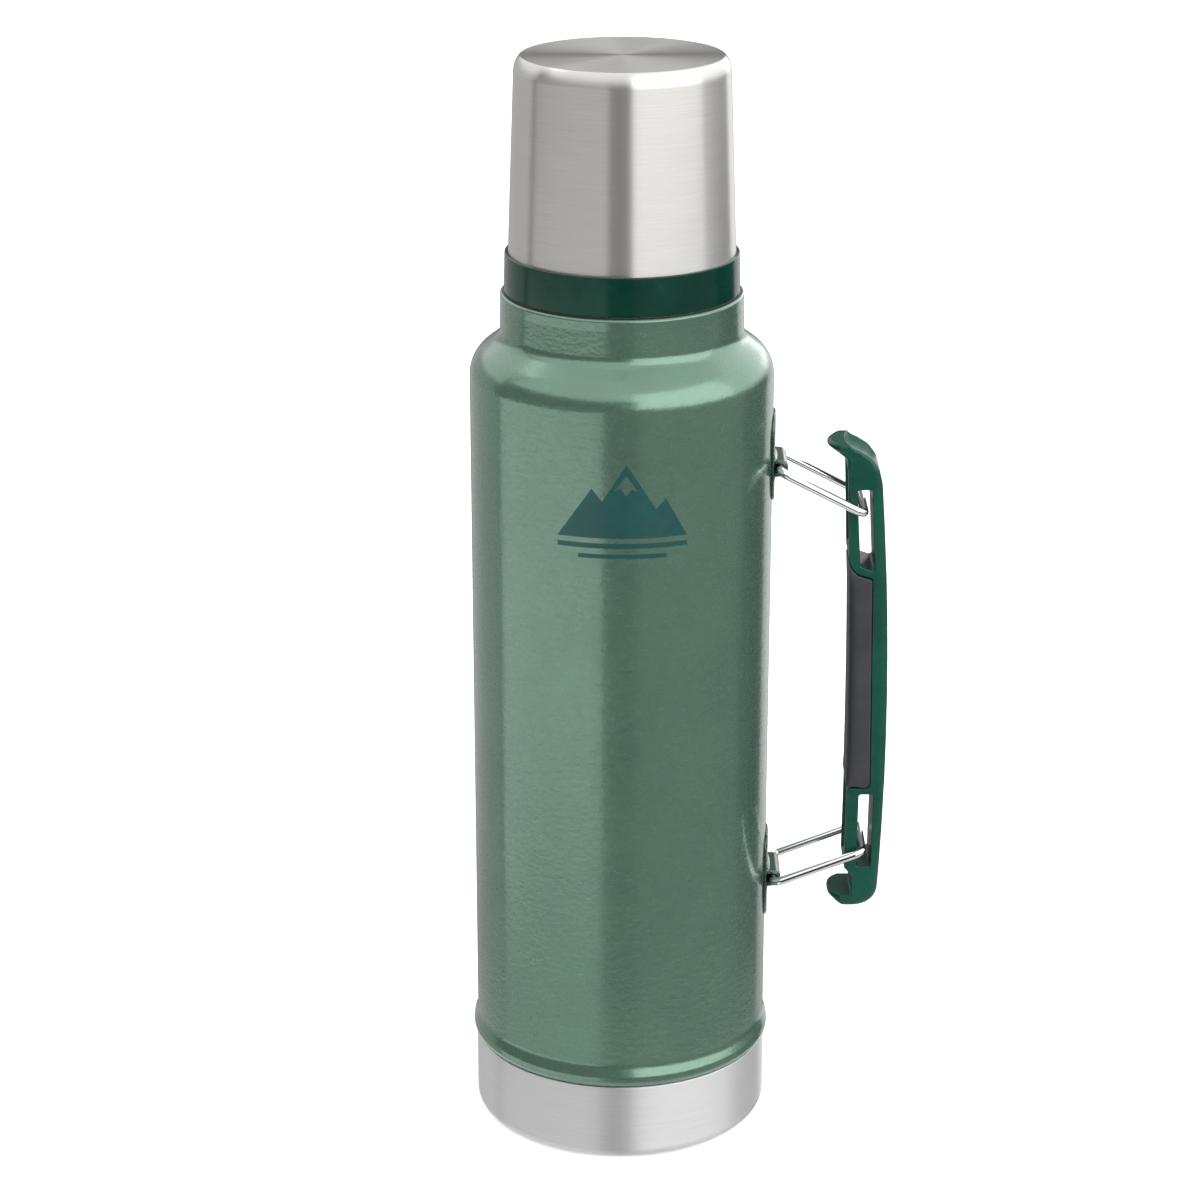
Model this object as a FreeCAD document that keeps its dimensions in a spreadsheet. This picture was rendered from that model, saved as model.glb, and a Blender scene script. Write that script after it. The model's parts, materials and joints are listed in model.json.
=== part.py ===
"""Vacuum flask with a screw-on drinking cup, a stopper and a fold-in side handle.

Millimetres. +Z is up, the origin is the centre of the flat underside of the base,
the front of the flask faces -Y and the handle stands on the +X side.
Every size is a cell of the sheet "dims"; the pieces below are bound to those cells.
"""
import FreeCAD
import Part
import Sketcher
import os

# ---------------------------------------------------------------- driving sizes

DIMENSIONS = [
    # general
    ("fit_gap", 0.05, "gap between pieces that are fixed together"),
    # painted outer shell
    ("body_radius", 50.0, "outside of the straight painted wall"),
    ("shell_wall", 1.0, "thickness of the outer shell"),
    ("skirt_radius", 49.4, "outside of the skirt that enters the base cup"),
    ("skirt_bottom", 8.0, "lower edge of the skirt"),
    ("bead_bottom", 27.5, "lower edge of the bead above the base cup"),
    ("bead_top", 34.1, "height where the bead has run out"),
    ("bead_radius", 50.9, "outside of the bead's lower edge"),
    ("bead_curve", 7.0, "radius of the bead's rounded face"),
    ("shoulder_z", 271.4, "height of the shoulder's virtual corner"),
    ("shoulder_round", 12.0, "rounding of the shoulder"),
    ("neck_z", 280.1, "height of the neck's virtual lower corner"),
    ("neck_round", 6.0, "hollow rounding between shoulder and neck"),
    ("neck_radius", 39.8, "outside of the neck at its foot"),
    ("neck_top_radius", 39.4, "outside of the neck at its top"),
    ("neck_top", 291.8, "height of the land that carries the cup"),
    ("land_radius", 34.3, "inner edge of that land"),
    # bare steel base cup
    ("base_radius", 50.3, "outside of the base cup"),
    ("base_wall", 0.8, "thickness of the base cup"),
    ("base_top", 27.2, "upper edge of the base cup"),
    ("base_round", 3.8, "rounding of the base cup's lower edge"),
    # vacuum jacket
    ("liner_radius", 43.8, "outside of the inner liner"),
    ("liner_wall", 0.8, "thickness of the inner liner"),
    ("liner_bottom", 16.0, "underside of the inner liner"),
    ("liner_shoulder", 262.0, "virtual corner under the liner's shoulder"),
    ("liner_foot_round", 4.0, "rounding of the liner's closed bottom"),
    ("liner_round", 10.0, "rounding of the liner's shoulder"),
    ("liner_join", 255.0, "height of the weld between the liner and its neck"),
    ("mouth_radius", 31.8, "outside of the liner's neck"),
    ("mouth_foot", 272.5, "virtual corner above the liner's shoulder"),
    ("mouth_top", 308.8, "height of the rolled lip"),
    ("lip_radius", 34.2, "outside of the rolled lip"),
    ("jacket_z", 9.5, "underside of the plate that closes the vacuum"),
    ("jacket_radius", 48.35, "outside of that plate"),
    ("foil_gap", 0.1, "gap between the liner and its foil"),
    ("foil_wall", 0.2, "thickness of the radiation foil"),
    ("foil_bottom", 30.0, "lower edge of the foil"),
    ("foil_top", 248.0, "upper edge of the foil"),
    ("getter_radius", 6.0, "radius of the getter pellet"),
    ("getter_offset", 24.0, "distance of the getter from the axis"),
    ("seal_radius", 5.0, "radius of the evacuation seal"),
    # mouth collar and its thread
    ("collar_radius", 33.6, "outside of the collar"),
    ("collar_crest", 34.6, "crest of the collar's thread"),
    ("cup_pitch", 4.0, "pitch of the cup's thread"),
    ("stopper_pitch", 5.0, "pitch of the stopper's thread"),
    ("mouth_crest", 30.0, "crest of the thread inside the mouth"),
    # cup
    ("band_bottom", 292.4, "underside of the cup's band"),
    ("band_top", 305.0, "upper edge of the cup's band"),
    ("band_radius", 38.5, "outside of the band at its foot"),
    ("band_top_radius", 38.2, "outside of the band at its top"),
    ("band_bore", 35.6, "inside of the band at the root of its thread"),
    ("band_crest", 35.0, "crest of the band's thread"),
    ("cup_foot", 298.5, "lower edge of the steel cup inside the band"),
    ("cup_foot_radius", 37.3, "outside of the steel cup at that edge"),
    ("cup_top", 368.6, "height of the closed end of the cup"),
    ("cup_top_radius", 34.72, "outside of the cup at its closed end"),
    ("cup_wall", 0.7, "thickness of the steel cup"),
    ("cup_round", 7.0, "rounding of the closed end"),
    ("lining_foot", 305.1, "lower edge of the cup's lining"),
    ("lining_foot_radius", 36.26, "outside of the lining at that edge"),
    ("lining_top_radius", 33.95, "outside of the lining at the closed end"),
    ("lining_wall", 0.9, "thickness of the lining"),
    # stopper
    ("plug_radius", 28.6, "outside of the plug at the root of its thread"),
    ("plug_crest", 29.6, "crest of the plug's thread"),
    ("plug_bore", 25.7, "inside of the plug"),
    ("plug_bottom", 276.0, "underside of the plug"),
    ("flange_bottom", 310.35, "underside of the stopper's flange"),
    ("flange_top", 313.6, "top of the stopper's flange"),
    ("flange_radius", 32.8, "outside of the stopper's flange"),
    ("gasket_radius", 32.4, "outside of the stopper's gasket"),
    ("knob_radius", 27.0, "outside of the stopper's knob"),
    ("knob_top", 327.0, "top of the stopper's knob"),
    ("flute_radius", 7.0, "radius of a finger flute in the knob"),
    ("flute_centre", 31.5, "distance of a flute's centre from the axis"),
    ("flute_count", 8, "number of finger flutes"),
    # brackets
    ("bracket_inner", 50.03, "inside of the curved bracket plate"),
    ("bracket_outer", 50.83, "outside of the curved bracket plate"),
    ("bracket_half", 9.0, "half of the bracket's width"),
    ("bracket_round", 6.0, "rounding of the plate's corners"),
    ("upper_plate_low", 221.3, "lower edge of the upper bracket"),
    ("upper_plate_high", 251.0, "upper edge of the upper bracket"),
    ("lower_plate_low", 70.6, "lower edge of the lower bracket"),
    ("lower_plate_high", 101.6, "upper edge of the lower bracket"),
    ("knuckle_radius", 2.6, "outside of the tunnel round the bail"),
    ("knuckle_half", 8.0, "half of the tunnel's length"),
    ("knuckle_bore", 1.53, "bore of the tunnel"),
    # wire bails
    ("wire_radius", 1.45, "radius of the bail wire"),
    ("bail_half", 12.25, "distance of a bail's leg from its middle"),
    ("bail_bend", 3.0, "bend radius at the corners of a bail"),
    ("bail_split", 0.4, "gap where the two ends of the wire meet"),
    ("upper_pivot_x", 52.3, "upper bail pivot, away from the axis"),
    ("upper_pivot_z", 233.4, "upper bail pivot, height"),
    ("upper_cross_x", 80.2, "upper bail crossbar, away from the axis"),
    ("upper_cross_z", 219.0, "upper bail crossbar, height"),
    ("lower_pivot_x", 52.5, "lower bail pivot, away from the axis"),
    ("lower_pivot_z", 85.8, "lower bail pivot, height"),
    ("lower_cross_x", 82.6, "lower bail crossbar, away from the axis"),
    ("lower_cross_z", 97.6, "lower bail crossbar, height"),
    # handle
    ("handle_half", 9.5, "half of the handle's width"),
    ("spine_curve", 1067.0, "bow radius of the handle's outer face"),
    ("crown_curve", 12.0, "radius between the outer face and the thumb rest"),
    ("heel_round", 9.5, "rounding of the lower outer bend"),
    ("inner_curve", 2000.0, "bow radius of the handle's inner face"),
    ("window_half", 2.48, "half of a window's width"),
    ("window_end", 1.6, "rounding of a window's corners"),
    ("grip_half", 10.0, "half of the grip's width"),
    ("grip_round", 5.0, "rounding of the grip's inner edges"),
    ("spine_round", 3.0, "rounding of the handle's outer edges"),
    ("nose_depth", 3.9, "how far a nose tapers on either side, seen from above"),
]

doc = FreeCAD.newDocument("VacuumFlask")
sheet = doc.addObject("Spreadsheet::Sheet", "dims")
ALIASES = set()
for row, (alias, value, meaning) in enumerate(DIMENSIONS, 1):
    sheet.set(f"A{row}", meaning)
    sheet.set(f"B{row}", str(value))
    sheet.setAlias(f"B{row}", alias)
    ALIASES.add(alias)
doc.recompute()

PARTS = []


# ---------------------------------------------------------------- helpers

def linked(expression):
    """Spell an expression such as "body_radius - shell_wall" with the sheet's name."""
    words = str(expression).split()
    return " ".join("dims." + word if word in ALIASES else word for word in words)


def size(expression):
    """The present value of an expression over the sheet's cells."""
    return float(sheet.evalExpression(str(expression)))


def new_body(label):
    """A new sub-part; its label becomes its file name."""
    body = doc.addObject("PartDesign::Body", label)
    body.Label = label
    PARTS.append(body)
    return body


def origin_plane(body, role):
    """One of the body's own origin planes."""
    return next(item for item in body.Origin.OriginFeatures if item.Role == role)


def new_sketch(body, name, role, height=None):
    """An empty sketch on an origin plane, raised by an expression if one is given."""
    sketch = body.newObject("Sketcher::SketchObject", name)
    sketch.AttachmentSupport = [(origin_plane(body, role), "")]
    sketch.MapMode = "FlatFace"
    if height is not None:
        sketch.setExpression("AttachmentOffset.Base.z", linked(height))
    doc.recompute()
    return sketch


def bind(sketch, kind, *where, expression):
    """A driving constraint whose value follows the sheet."""
    index = sketch.addConstraint(Sketcher.Constraint(kind, *where, size(expression)))
    sketch.setExpression(f"Constraints[{index}]", linked(expression))


def arc_between(start, end, radius, side):
    """Counter-clockwise arc joining two points; side is where its centre lies."""
    chord = end - start
    rise = (radius * radius - chord.Length * chord.Length / 4) ** 0.5
    left = FreeCAD.Vector(-chord.y, chord.x, 0).normalize()
    centre = (start + end) / 2 + left * (rise if side == "left" else -rise)
    first, last = (start, end) if side == "left" else (end, start)
    middle = centre - left * (radius if side == "left" else -radius)
    circle = Part.Circle(centre, FreeCAD.Vector(0, 0, 1), radius)
    begin = circle.parameter(first)
    finish = circle.parameter(last)
    arc = Part.ArcOfCircle(circle, begin, finish)
    assert arc.value((arc.FirstParameter + arc.LastParameter) / 2).distanceToPoint(middle) < 0.01
    return arc


def outline(sketch, corners, closed=True):
    """Chain of lines and arcs through corners bound to the sheet.

    A corner is (x, y) or (x, y, radius, side); the last two describe the arc that
    leaves the corner, with its centre on the given side of the way round.
    """
    count = len(corners)
    points = [FreeCAD.Vector(size(corner[0]), size(corner[1]), 0) for corner in corners]
    ends = []
    for index in range(count if closed else count - 1):
        start = points[index]
        end = points[(index + 1) % count]
        if len(corners[index]) == 2:
            key = sketch.addGeometry(Part.LineSegment(start, end), False)
            ends.append((key, 1, 2))
        else:
            radius, side = corners[index][2:]
            key = sketch.addGeometry(arc_between(start, end, size(radius), side), False)
            ends.append((key, 1, 2) if side == "left" else (key, 2, 1))
    for index in range(len(ends) if closed else len(ends) - 1):
        here = ends[index]
        following = ends[(index + 1) % len(ends)]
        sketch.addConstraint(
            Sketcher.Constraint("Coincident", here[0], here[2], following[0], following[1]))
    for index, corner in enumerate(corners):
        at_end = index == len(ends)
        key, vertex = (ends[-1][0], ends[-1][2]) if at_end else ends[index][:2]
        for kind, expression in (("DistanceX", corner[0]), ("DistanceY", corner[1])):
            bind(sketch, kind, -1, 1, key, vertex, expression=expression)
        if len(corner) == 4:
            bind(sketch, "Radius", key, expression=corner[2])


def revolve(body, name, corners):
    """Full turn about the Z axis of a closed profile given as (radius, height)."""
    sketch = new_sketch(body, name + "_profile", "XZ_Plane")
    outline(sketch, corners)
    feature = body.newObject("PartDesign::Revolution", name)
    feature.Profile = sketch
    feature.ReferenceAxis = (sketch, ["V_Axis"])
    feature.Angle = 360
    sketch.Visibility = False
    doc.recompute()
    return feature


def pad(body, name, role, corners, length, height=None, midplane=False):
    """Straight pad of a closed profile."""
    sketch = new_sketch(body, name + "_profile", role, height)
    outline(sketch, corners)
    feature = body.newObject("PartDesign::Pad", name)
    feature.Profile = sketch
    feature.Midplane = midplane
    feature.setExpression("Length", linked(length))
    doc.recompute()
    return feature


def pocket_through(body, name, sketch, length):
    """Pocket cut both ways from its sketch; it must take something away."""
    before = body.Shape.Volume
    feature = body.newObject("PartDesign::Pocket", name)
    feature.Profile = sketch
    feature.Midplane = True
    feature.setExpression("Length", linked(length))
    doc.recompute()
    assert body.Shape.Volume < before - 0.1, name + " cuts nothing"
    return feature


def circle_sketch(body, name, role, x, y, radius, height=None):
    """Sketch of one circle."""
    sketch = new_sketch(body, name, role, height)
    centre = FreeCAD.Vector(size(x), size(y), 0)
    circle = Part.Circle(centre, FreeCAD.Vector(0, 0, 1), size(radius))
    key = sketch.addGeometry(circle, False)
    bind(sketch, "DistanceX", -1, 1, key, 3, expression=x)
    bind(sketch, "DistanceY", -1, 1, key, 3, expression=y)
    bind(sketch, "Radius", key, expression=radius)
    return sketch


def ring_edges(body, radius, height):
    """Names of the circular edges about Z with a given radius and height."""
    wanted = []
    for index, edge in enumerate(body.Shape.Edges, 1):
        curve = edge.Curve
        if not isinstance(curve, Part.Circle):
            continue
        if abs(curve.Radius - size(radius)) < 0.02 and abs(curve.Center.z - size(height)) < 0.02:
            wanted.append(f"Edge{index}")
    assert wanted, f"no edge at radius {radius}, height {height}"
    return wanted


def edges_where(body, test):
    """Names of the edges whose middle and whole box pass a test."""
    names = []
    for index, edge in enumerate(body.Shape.Edges, 1):
        middle = edge.valueAt((edge.FirstParameter + edge.LastParameter) / 2)
        if test(middle, edge.BoundBox):
            names.append(f"Edge{index}")
    assert names, "no edge found on " + body.Label
    return names


def fillet(body, name, edges, radius):
    """Round the named edges of the body's present shape."""
    base = body.Tip
    feature = body.newObject("PartDesign::Fillet", name)
    feature.Base = (base, edges)
    feature.setExpression("Radius", linked(radius))
    doc.recompute()
    return feature


def thread(body, name, root, crest, low, pitch, turns_height):
    """Helical ridge of trapezoid section from root to crest."""
    sketch = new_sketch(body, name + "_profile", "XZ_Plane")
    outline(sketch, [
        (root, low),
        (crest, f"{low} + {pitch} * 0.16"),
        (crest, f"{low} + {pitch} * 0.34"),
        (root, f"{low} + {pitch} * 0.5"),
    ])
    feature = body.newObject("PartDesign::AdditiveHelix", name)
    feature.Profile = sketch
    feature.ReferenceAxis = (sketch, ["V_Axis"])
    feature.Mode = 0
    feature.setExpression("Pitch", linked(pitch))
    feature.setExpression("Height", linked(turns_height))
    doc.recompute()
    return feature


# ---------------------------------------------------------------- painted shell

def make_outer_shell():
    """Painted outer wall: skirt, bead, straight wall, shoulder, neck and cup land."""
    body = new_body("outer_shell")
    revolve(body, "shell_turn", [
        ("skirt_radius - shell_wall", "skirt_bottom"),
        ("skirt_radius", "skirt_bottom"),
        ("skirt_radius", "bead_bottom"),
        ("bead_radius", "bead_bottom", "bead_curve", "left"),
        ("body_radius", "bead_top"),
        ("body_radius", "shoulder_z"),
        ("neck_radius", "neck_z"),
        ("neck_top_radius", "neck_top"),
        ("land_radius", "neck_top"),
        ("land_radius", "neck_top - shell_wall"),
        ("neck_top_radius - shell_wall", "neck_top - shell_wall"),
        ("neck_radius - shell_wall", "neck_z - shell_wall * 0.5"),
        ("body_radius - shell_wall", "shoulder_z - shell_wall * 0.5"),
        ("body_radius - shell_wall", "bead_top - 3"),
        ("skirt_radius - shell_wall", "bead_bottom + 1.5"),
    ])
    fillet(body, "shoulder_fillet", ring_edges(body, "body_radius", "shoulder_z"),
           "shoulder_round")
    fillet(body, "neck_fillet", ring_edges(body, "neck_radius", "neck_z"), "neck_round")
    fillet(body, "land_fillet", ring_edges(body, "neck_top_radius", "neck_top"), "0.8")


def make_base_cup():
    """Bare steel cup pressed over the lower end of the shell."""
    body = new_body("base_cup")
    revolve(body, "base_turn", [
        ("0", "0"),
        ("base_radius", "0"),
        ("base_radius", "base_top"),
        ("base_radius - base_wall", "base_top"),
        ("base_radius - base_wall", "base_wall"),
        ("0", "base_wall"),
    ])
    fillet(body, "base_fillet", ring_edges(body, "base_radius", "0"), "base_round")
    fillet(body, "base_inner_fillet",
           ring_edges(body, "base_radius - base_wall", "base_wall"),
           "base_round - base_wall")


# ---------------------------------------------------------------- vacuum jacket

def make_inner_liner():
    """Steel liner, and its neck with the rolled lip and the thread for the stopper."""
    liner = new_body("inner_liner")
    revolve(liner, "liner_turn", [
        ("0", "liner_bottom"),
        ("liner_radius", "liner_bottom"),
        ("liner_radius", "liner_join"),
        ("liner_radius - liner_wall", "liner_join"),
        ("liner_radius - liner_wall", "liner_bottom + liner_wall"),
        ("0", "liner_bottom + liner_wall"),
    ])
    fillet(liner, "liner_foot_fillet", ring_edges(liner, "liner_radius", "liner_bottom"),
           "liner_foot_round")
    fillet(liner, "liner_foot_inner_fillet",
           ring_edges(liner, "liner_radius - liner_wall", "liner_bottom + liner_wall"),
           "liner_foot_round - liner_wall")

    neck = new_body("liner_neck")
    revolve(neck, "neck_turn", [
        ("liner_radius", "liner_join + fit_gap"),
        ("liner_radius", "liner_shoulder"),
        ("mouth_radius", "mouth_foot"),
        ("mouth_radius", "mouth_top - liner_wall"),
        ("lip_radius", "mouth_top - liner_wall"),
        ("lip_radius", "mouth_top"),
        ("mouth_radius - liner_wall", "mouth_top"),
        ("mouth_radius - liner_wall", "mouth_foot - liner_wall * 0.5"),
        ("liner_radius - liner_wall", "liner_shoulder - liner_wall * 0.5"),
        ("liner_radius - liner_wall", "liner_join + fit_gap"),
    ])
    fillet(neck, "liner_shoulder_fillet",
           ring_edges(neck, "liner_radius", "liner_shoulder"), "liner_round")
    fillet(neck, "liner_shoulder_inner_fillet",
           ring_edges(neck, "liner_radius - liner_wall", "liner_shoulder - liner_wall * 0.5"),
           "liner_round - liner_wall")
    thread(neck, "mouth_thread", "mouth_radius - liner_wall * 0.5", "mouth_crest",
           "mouth_top - 16", "stopper_pitch", "stopper_pitch * 2")


def make_jacket_closure():
    """Plate, getter and seal that close the vacuum, and the foil round the liner."""
    plate = new_body("vacuum_base")
    revolve(plate, "plate_turn", [
        ("0", "jacket_z + 2"),
        ("jacket_radius - 12", "jacket_z + 2"),
        ("jacket_radius - 8", "jacket_z"),
        ("jacket_radius", "jacket_z"),
        ("jacket_radius", "jacket_z + 1"),
        ("jacket_radius - 7.5", "jacket_z + 1"),
        ("jacket_radius - 11.5", "jacket_z + 3"),
        ("0", "jacket_z + 3"),
    ])

    getter = new_body("getter")
    sketch = circle_sketch(getter, "getter_profile", "XY_Plane", "getter_offset", "0",
                           "getter_radius", "jacket_z + 3 + fit_gap")
    feature = getter.newObject("PartDesign::Pad", "getter_pad")
    feature.Profile = sketch
    feature.Length = 1.8
    doc.recompute()
    fillet(getter, "getter_fillet",
           edges_where(getter, lambda p, box: box.ZMax > size("jacket_z") + 4.5
                       and box.ZLength < 0.1), "0.5")

    seal = new_body("evacuation_seal")
    revolve(seal, "seal_turn", [
        ("0", "jacket_z + 0.2"),
        ("seal_radius - 1.5", "jacket_z + 0.2"),
        ("seal_radius", "jacket_z + 2 - fit_gap"),
        ("0", "jacket_z + 2 - fit_gap"),
    ])

    foil = new_body("radiation_foil")
    revolve(foil, "foil_turn", [
        ("liner_radius + foil_gap", "foil_bottom"),
        ("liner_radius + foil_gap + foil_wall", "foil_bottom"),
        ("liner_radius + foil_gap + foil_wall", "foil_top"),
        ("liner_radius + foil_gap", "foil_top"),
    ])


def make_mouth_collar():
    """Threaded steel collar round the liner's neck, and the rubber ring on the land."""
    collar = new_body("mouth_collar")
    revolve(collar, "collar_turn", [
        ("mouth_radius + fit_gap", "neck_top + fit_gap"),
        ("collar_radius", "neck_top + fit_gap"),
        ("collar_radius", "mouth_top - liner_wall - fit_gap"),
        ("mouth_radius + fit_gap", "mouth_top - liner_wall - fit_gap"),
    ])
    thread(collar, "collar_thread", "collar_radius - 0.5", "collar_crest",
           "neck_top + 3", "cup_pitch", "cup_pitch * 2")

    ring = new_body("seat_ring")
    revolve(ring, "seat_turn", [
        ("band_bore", "neck_top + fit_gap"),
        ("band_radius", "neck_top + fit_gap"),
        ("band_radius", "band_bottom - fit_gap"),
        ("band_bore", "band_bottom - fit_gap"),
    ])


# ---------------------------------------------------------------- drinking cup

def make_cup():
    """Steel cup, its lining and the threaded band that grips its lower edge."""
    shell = new_body("cup_shell")
    revolve(shell, "cup_turn", [
        ("cup_foot_radius - cup_wall", "cup_foot"),
        ("cup_foot_radius", "cup_foot"),
        ("cup_top_radius", "cup_top"),
        ("0", "cup_top"),
        ("0", "cup_top - cup_wall"),
        ("cup_top_radius - cup_wall", "cup_top - cup_wall"),
    ])
    fillet(shell, "cup_fillet", ring_edges(shell, "cup_top_radius", "cup_top"), "cup_round")
    fillet(shell, "cup_inner_fillet",
           ring_edges(shell, "cup_top_radius - cup_wall", "cup_top - cup_wall"),
           "cup_round - cup_wall")

    lining = new_body("cup_liner")
    revolve(lining, "lining_turn", [
        ("lining_foot_radius - lining_wall", "lining_foot"),
        ("lining_foot_radius", "lining_foot"),
        ("lining_top_radius", "cup_top - cup_wall - fit_gap"),
        ("0", "cup_top - cup_wall - fit_gap"),
        ("0", "cup_top - cup_wall - fit_gap - lining_wall"),
        ("lining_top_radius - lining_wall", "cup_top - cup_wall - fit_gap - lining_wall"),
    ])
    fillet(lining, "lining_fillet",
           ring_edges(lining, "lining_top_radius", "cup_top - cup_wall - fit_gap"),
           "cup_round - cup_wall + 0.1")
    fillet(lining, "lining_inner_fillet",
           ring_edges(lining, "lining_top_radius - lining_wall",
                      "cup_top - cup_wall - fit_gap - lining_wall"),
           "cup_round - cup_wall - lining_wall + 0.1")

    band = new_body("cup_band")
    revolve(band, "band_turn", [
        ("band_bore", "band_bottom"),
        ("band_radius", "band_bottom"),
        ("band_top_radius", "band_top"),
        ("cup_foot_radius - 0.14", "band_top"),
        ("cup_foot_radius + 0.1", "cup_foot - 0.1"),
        ("cup_foot_radius - cup_wall - 0.1", "cup_foot - 0.1"),
        ("cup_foot_radius - cup_wall - 0.34", "band_top"),
        ("band_bore", "band_top"),
    ])
    fillet(band, "band_fillet", ring_edges(band, "band_radius", "band_bottom"), "0.6")
    fillet(band, "band_top_fillet", ring_edges(band, "band_top_radius", "band_top"), "0.5")
    thread(band, "band_thread", "band_bore + 0.3", "band_crest", "band_bottom + 1.2",
           "cup_pitch", "cup_pitch * 2")


# ---------------------------------------------------------------- stopper

def make_stopper():
    """Insulated screw stopper: plug, flange, foam, bottom disc, gasket and fluted knob."""
    plug = new_body("stopper_body")
    revolve(plug, "plug_turn", [
        ("plug_bore", "plug_bottom"),
        ("plug_radius", "plug_bottom"),
        ("plug_radius", "flange_bottom"),
        ("plug_bore", "flange_bottom"),
    ])
    thread(plug, "plug_thread", "plug_radius - 0.3", "plug_crest", "mouth_top - 18.5",
           "stopper_pitch", "stopper_pitch * 2")

    flange = new_body("stopper_flange")
    revolve(flange, "flange_turn", [
        ("0", "flange_bottom + fit_gap"),
        ("flange_radius", "flange_bottom + fit_gap"),
        ("flange_radius", "flange_top"),
        ("0", "flange_top"),
    ])
    fillet(flange, "flange_fillet", ring_edges(flange, "flange_radius", "flange_top"), "1.2")

    disc = new_body("stopper_base")
    revolve(disc, "disc_turn", [
        ("0", "plug_bottom"),
        ("plug_bore - fit_gap", "plug_bottom"),
        ("plug_bore - fit_gap", "plug_bottom + 2"),
        ("0", "plug_bottom + 2"),
    ])

    core = new_body("stopper_core")
    revolve(core, "core_turn", [
        ("0", "plug_bottom + 2 + fit_gap"),
        ("plug_bore - 0.2", "plug_bottom + 2 + fit_gap"),
        ("plug_bore - 0.2", "flange_bottom"),
        ("0", "flange_bottom"),
    ])

    gasket = new_body("stopper_gasket")
    revolve(gasket, "gasket_turn", [
        ("plug_radius + fit_gap", "mouth_top + fit_gap"),
        ("gasket_radius", "mouth_top + fit_gap"),
        ("gasket_radius", "flange_bottom - fit_gap"),
        ("plug_radius + fit_gap", "flange_bottom - fit_gap"),
    ])

    knob = new_body("stopper_cap")
    revolve(knob, "knob_turn", [
        ("0", "flange_top + fit_gap"),
        ("knob_radius", "flange_top + fit_gap"),
        ("knob_radius", "knob_top"),
        ("0", "knob_top"),
    ])
    fillet(knob, "knob_fillet", ring_edges(knob, "knob_radius", "knob_top"), "3")
    sketch = circle_sketch(knob, "flute_profile", "XY_Plane", "flute_centre", "0",
                           "flute_radius", "knob_top")
    flute = pocket_through(knob, "flute", sketch, "( knob_top - flange_top ) * 4")
    pattern = knob.newObject("PartDesign::PolarPattern", "flutes")
    pattern.Originals = [flute]
    pattern.Axis = (sketch, ["N_Axis"])
    pattern.Angle = 360
    pattern.setExpression("Occurrences", linked("flute_count"))
    knob.Tip = pattern
    doc.recompute()


# ---------------------------------------------------------------- handle hardware

def make_bracket(label, low, high, pivot_x, pivot_z):
    """Curved plate welded to the shell, with the tunnel that holds a bail."""
    body = new_body(label)
    reach_in = "( bracket_inner ^ 2 - bracket_half ^ 2 ) ^ 0.5"
    reach_out = "( bracket_outer ^ 2 - bracket_half ^ 2 ) ^ 0.5"
    pad(body, "plate", "XY_Plane", [
        (reach_in, "0 - bracket_half"),
        (reach_out, "0 - bracket_half", "bracket_outer", "left"),
        (reach_out, "bracket_half"),
        (reach_in, "bracket_half", "bracket_inner", "right"),
    ], f"{high} - {low}", height=low)
    half = size("bracket_half")
    fillet(body, "plate_corners",
           edges_where(body, lambda p, box: abs(abs(p.y) - half) < 0.01
                       and box.ZLength < 0.01 and box.YLength < 0.01),
           "bracket_round")
    pad(body, "tunnel", "XZ_Plane", [
        ("bracket_inner + 0.07", f"{pivot_z} - knuckle_radius"),
        (pivot_x, f"{pivot_z} - knuckle_radius", "knuckle_radius + 0.0001", "left"),
        (pivot_x, f"{pivot_z} + knuckle_radius"),
        ("bracket_inner + 0.07", f"{pivot_z} + knuckle_radius"),
    ], "knuckle_half * 2", midplane=True)
    bore = circle_sketch(body, "tunnel_bore_profile", "XZ_Plane", pivot_x, pivot_z,
                         "knuckle_bore")
    pocket_through(body, "tunnel_bore", bore, "knuckle_half * 4")


def make_bail(label, pivot_x, pivot_z, cross_x, cross_z):
    """Closed wire loop: pivot bar through the bracket, crossbar through the handle.

    The loop is drawn flat with its pivot bar on the local Y axis and its crossbar
    at local +X, then swung about Y so that the crossbar reaches its own point.
    """
    body = new_body(label)
    length = f"( ( {cross_x} - {pivot_x} ) ^ 2 + ( {cross_z} - {pivot_z} ) ^ 2 ) ^ 0.5"
    path = new_sketch(body, "wire_path", "XY_Plane")
    outline(path, [
        ("0", "0"),
        ("0", "bail_half - bail_bend", "bail_bend", "right"),
        ("bail_bend", "bail_half"),
        (f"{length} - bail_bend", "bail_half", "bail_bend", "right"),
        (length, "bail_half - bail_bend"),
        (length, "bail_bend - bail_half", "bail_bend", "right"),
        (f"{length} - bail_bend", "0 - bail_half"),
        ("bail_bend", "0 - bail_half", "bail_bend", "right"),
        ("0", "bail_bend - bail_half"),
        ("0", "0 - bail_split"),
    ], closed=False)
    section = circle_sketch(body, "wire_section", "XZ_Plane", "0", "0", "wire_radius")
    pipe = body.newObject("PartDesign::AdditivePipe", "wire")
    pipe.Profile = section
    pipe.Spine = (path, [f"Edge{index}" for index in range(1, path.GeometryCount + 1)])
    body.Placement = FreeCAD.Placement(
        FreeCAD.Vector(0, 0, 0), FreeCAD.Rotation(FreeCAD.Vector(0, 1, 0), 1))
    body.setExpression("Placement.Base.x", linked(pivot_x))
    body.setExpression("Placement.Base.z", linked(pivot_z))
    body.setExpression("Placement.Rotation.Angle", linked(
        f"atan2( {pivot_z} - {cross_z} ; {cross_x} - {pivot_x} )"))
    doc.recompute()


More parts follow.
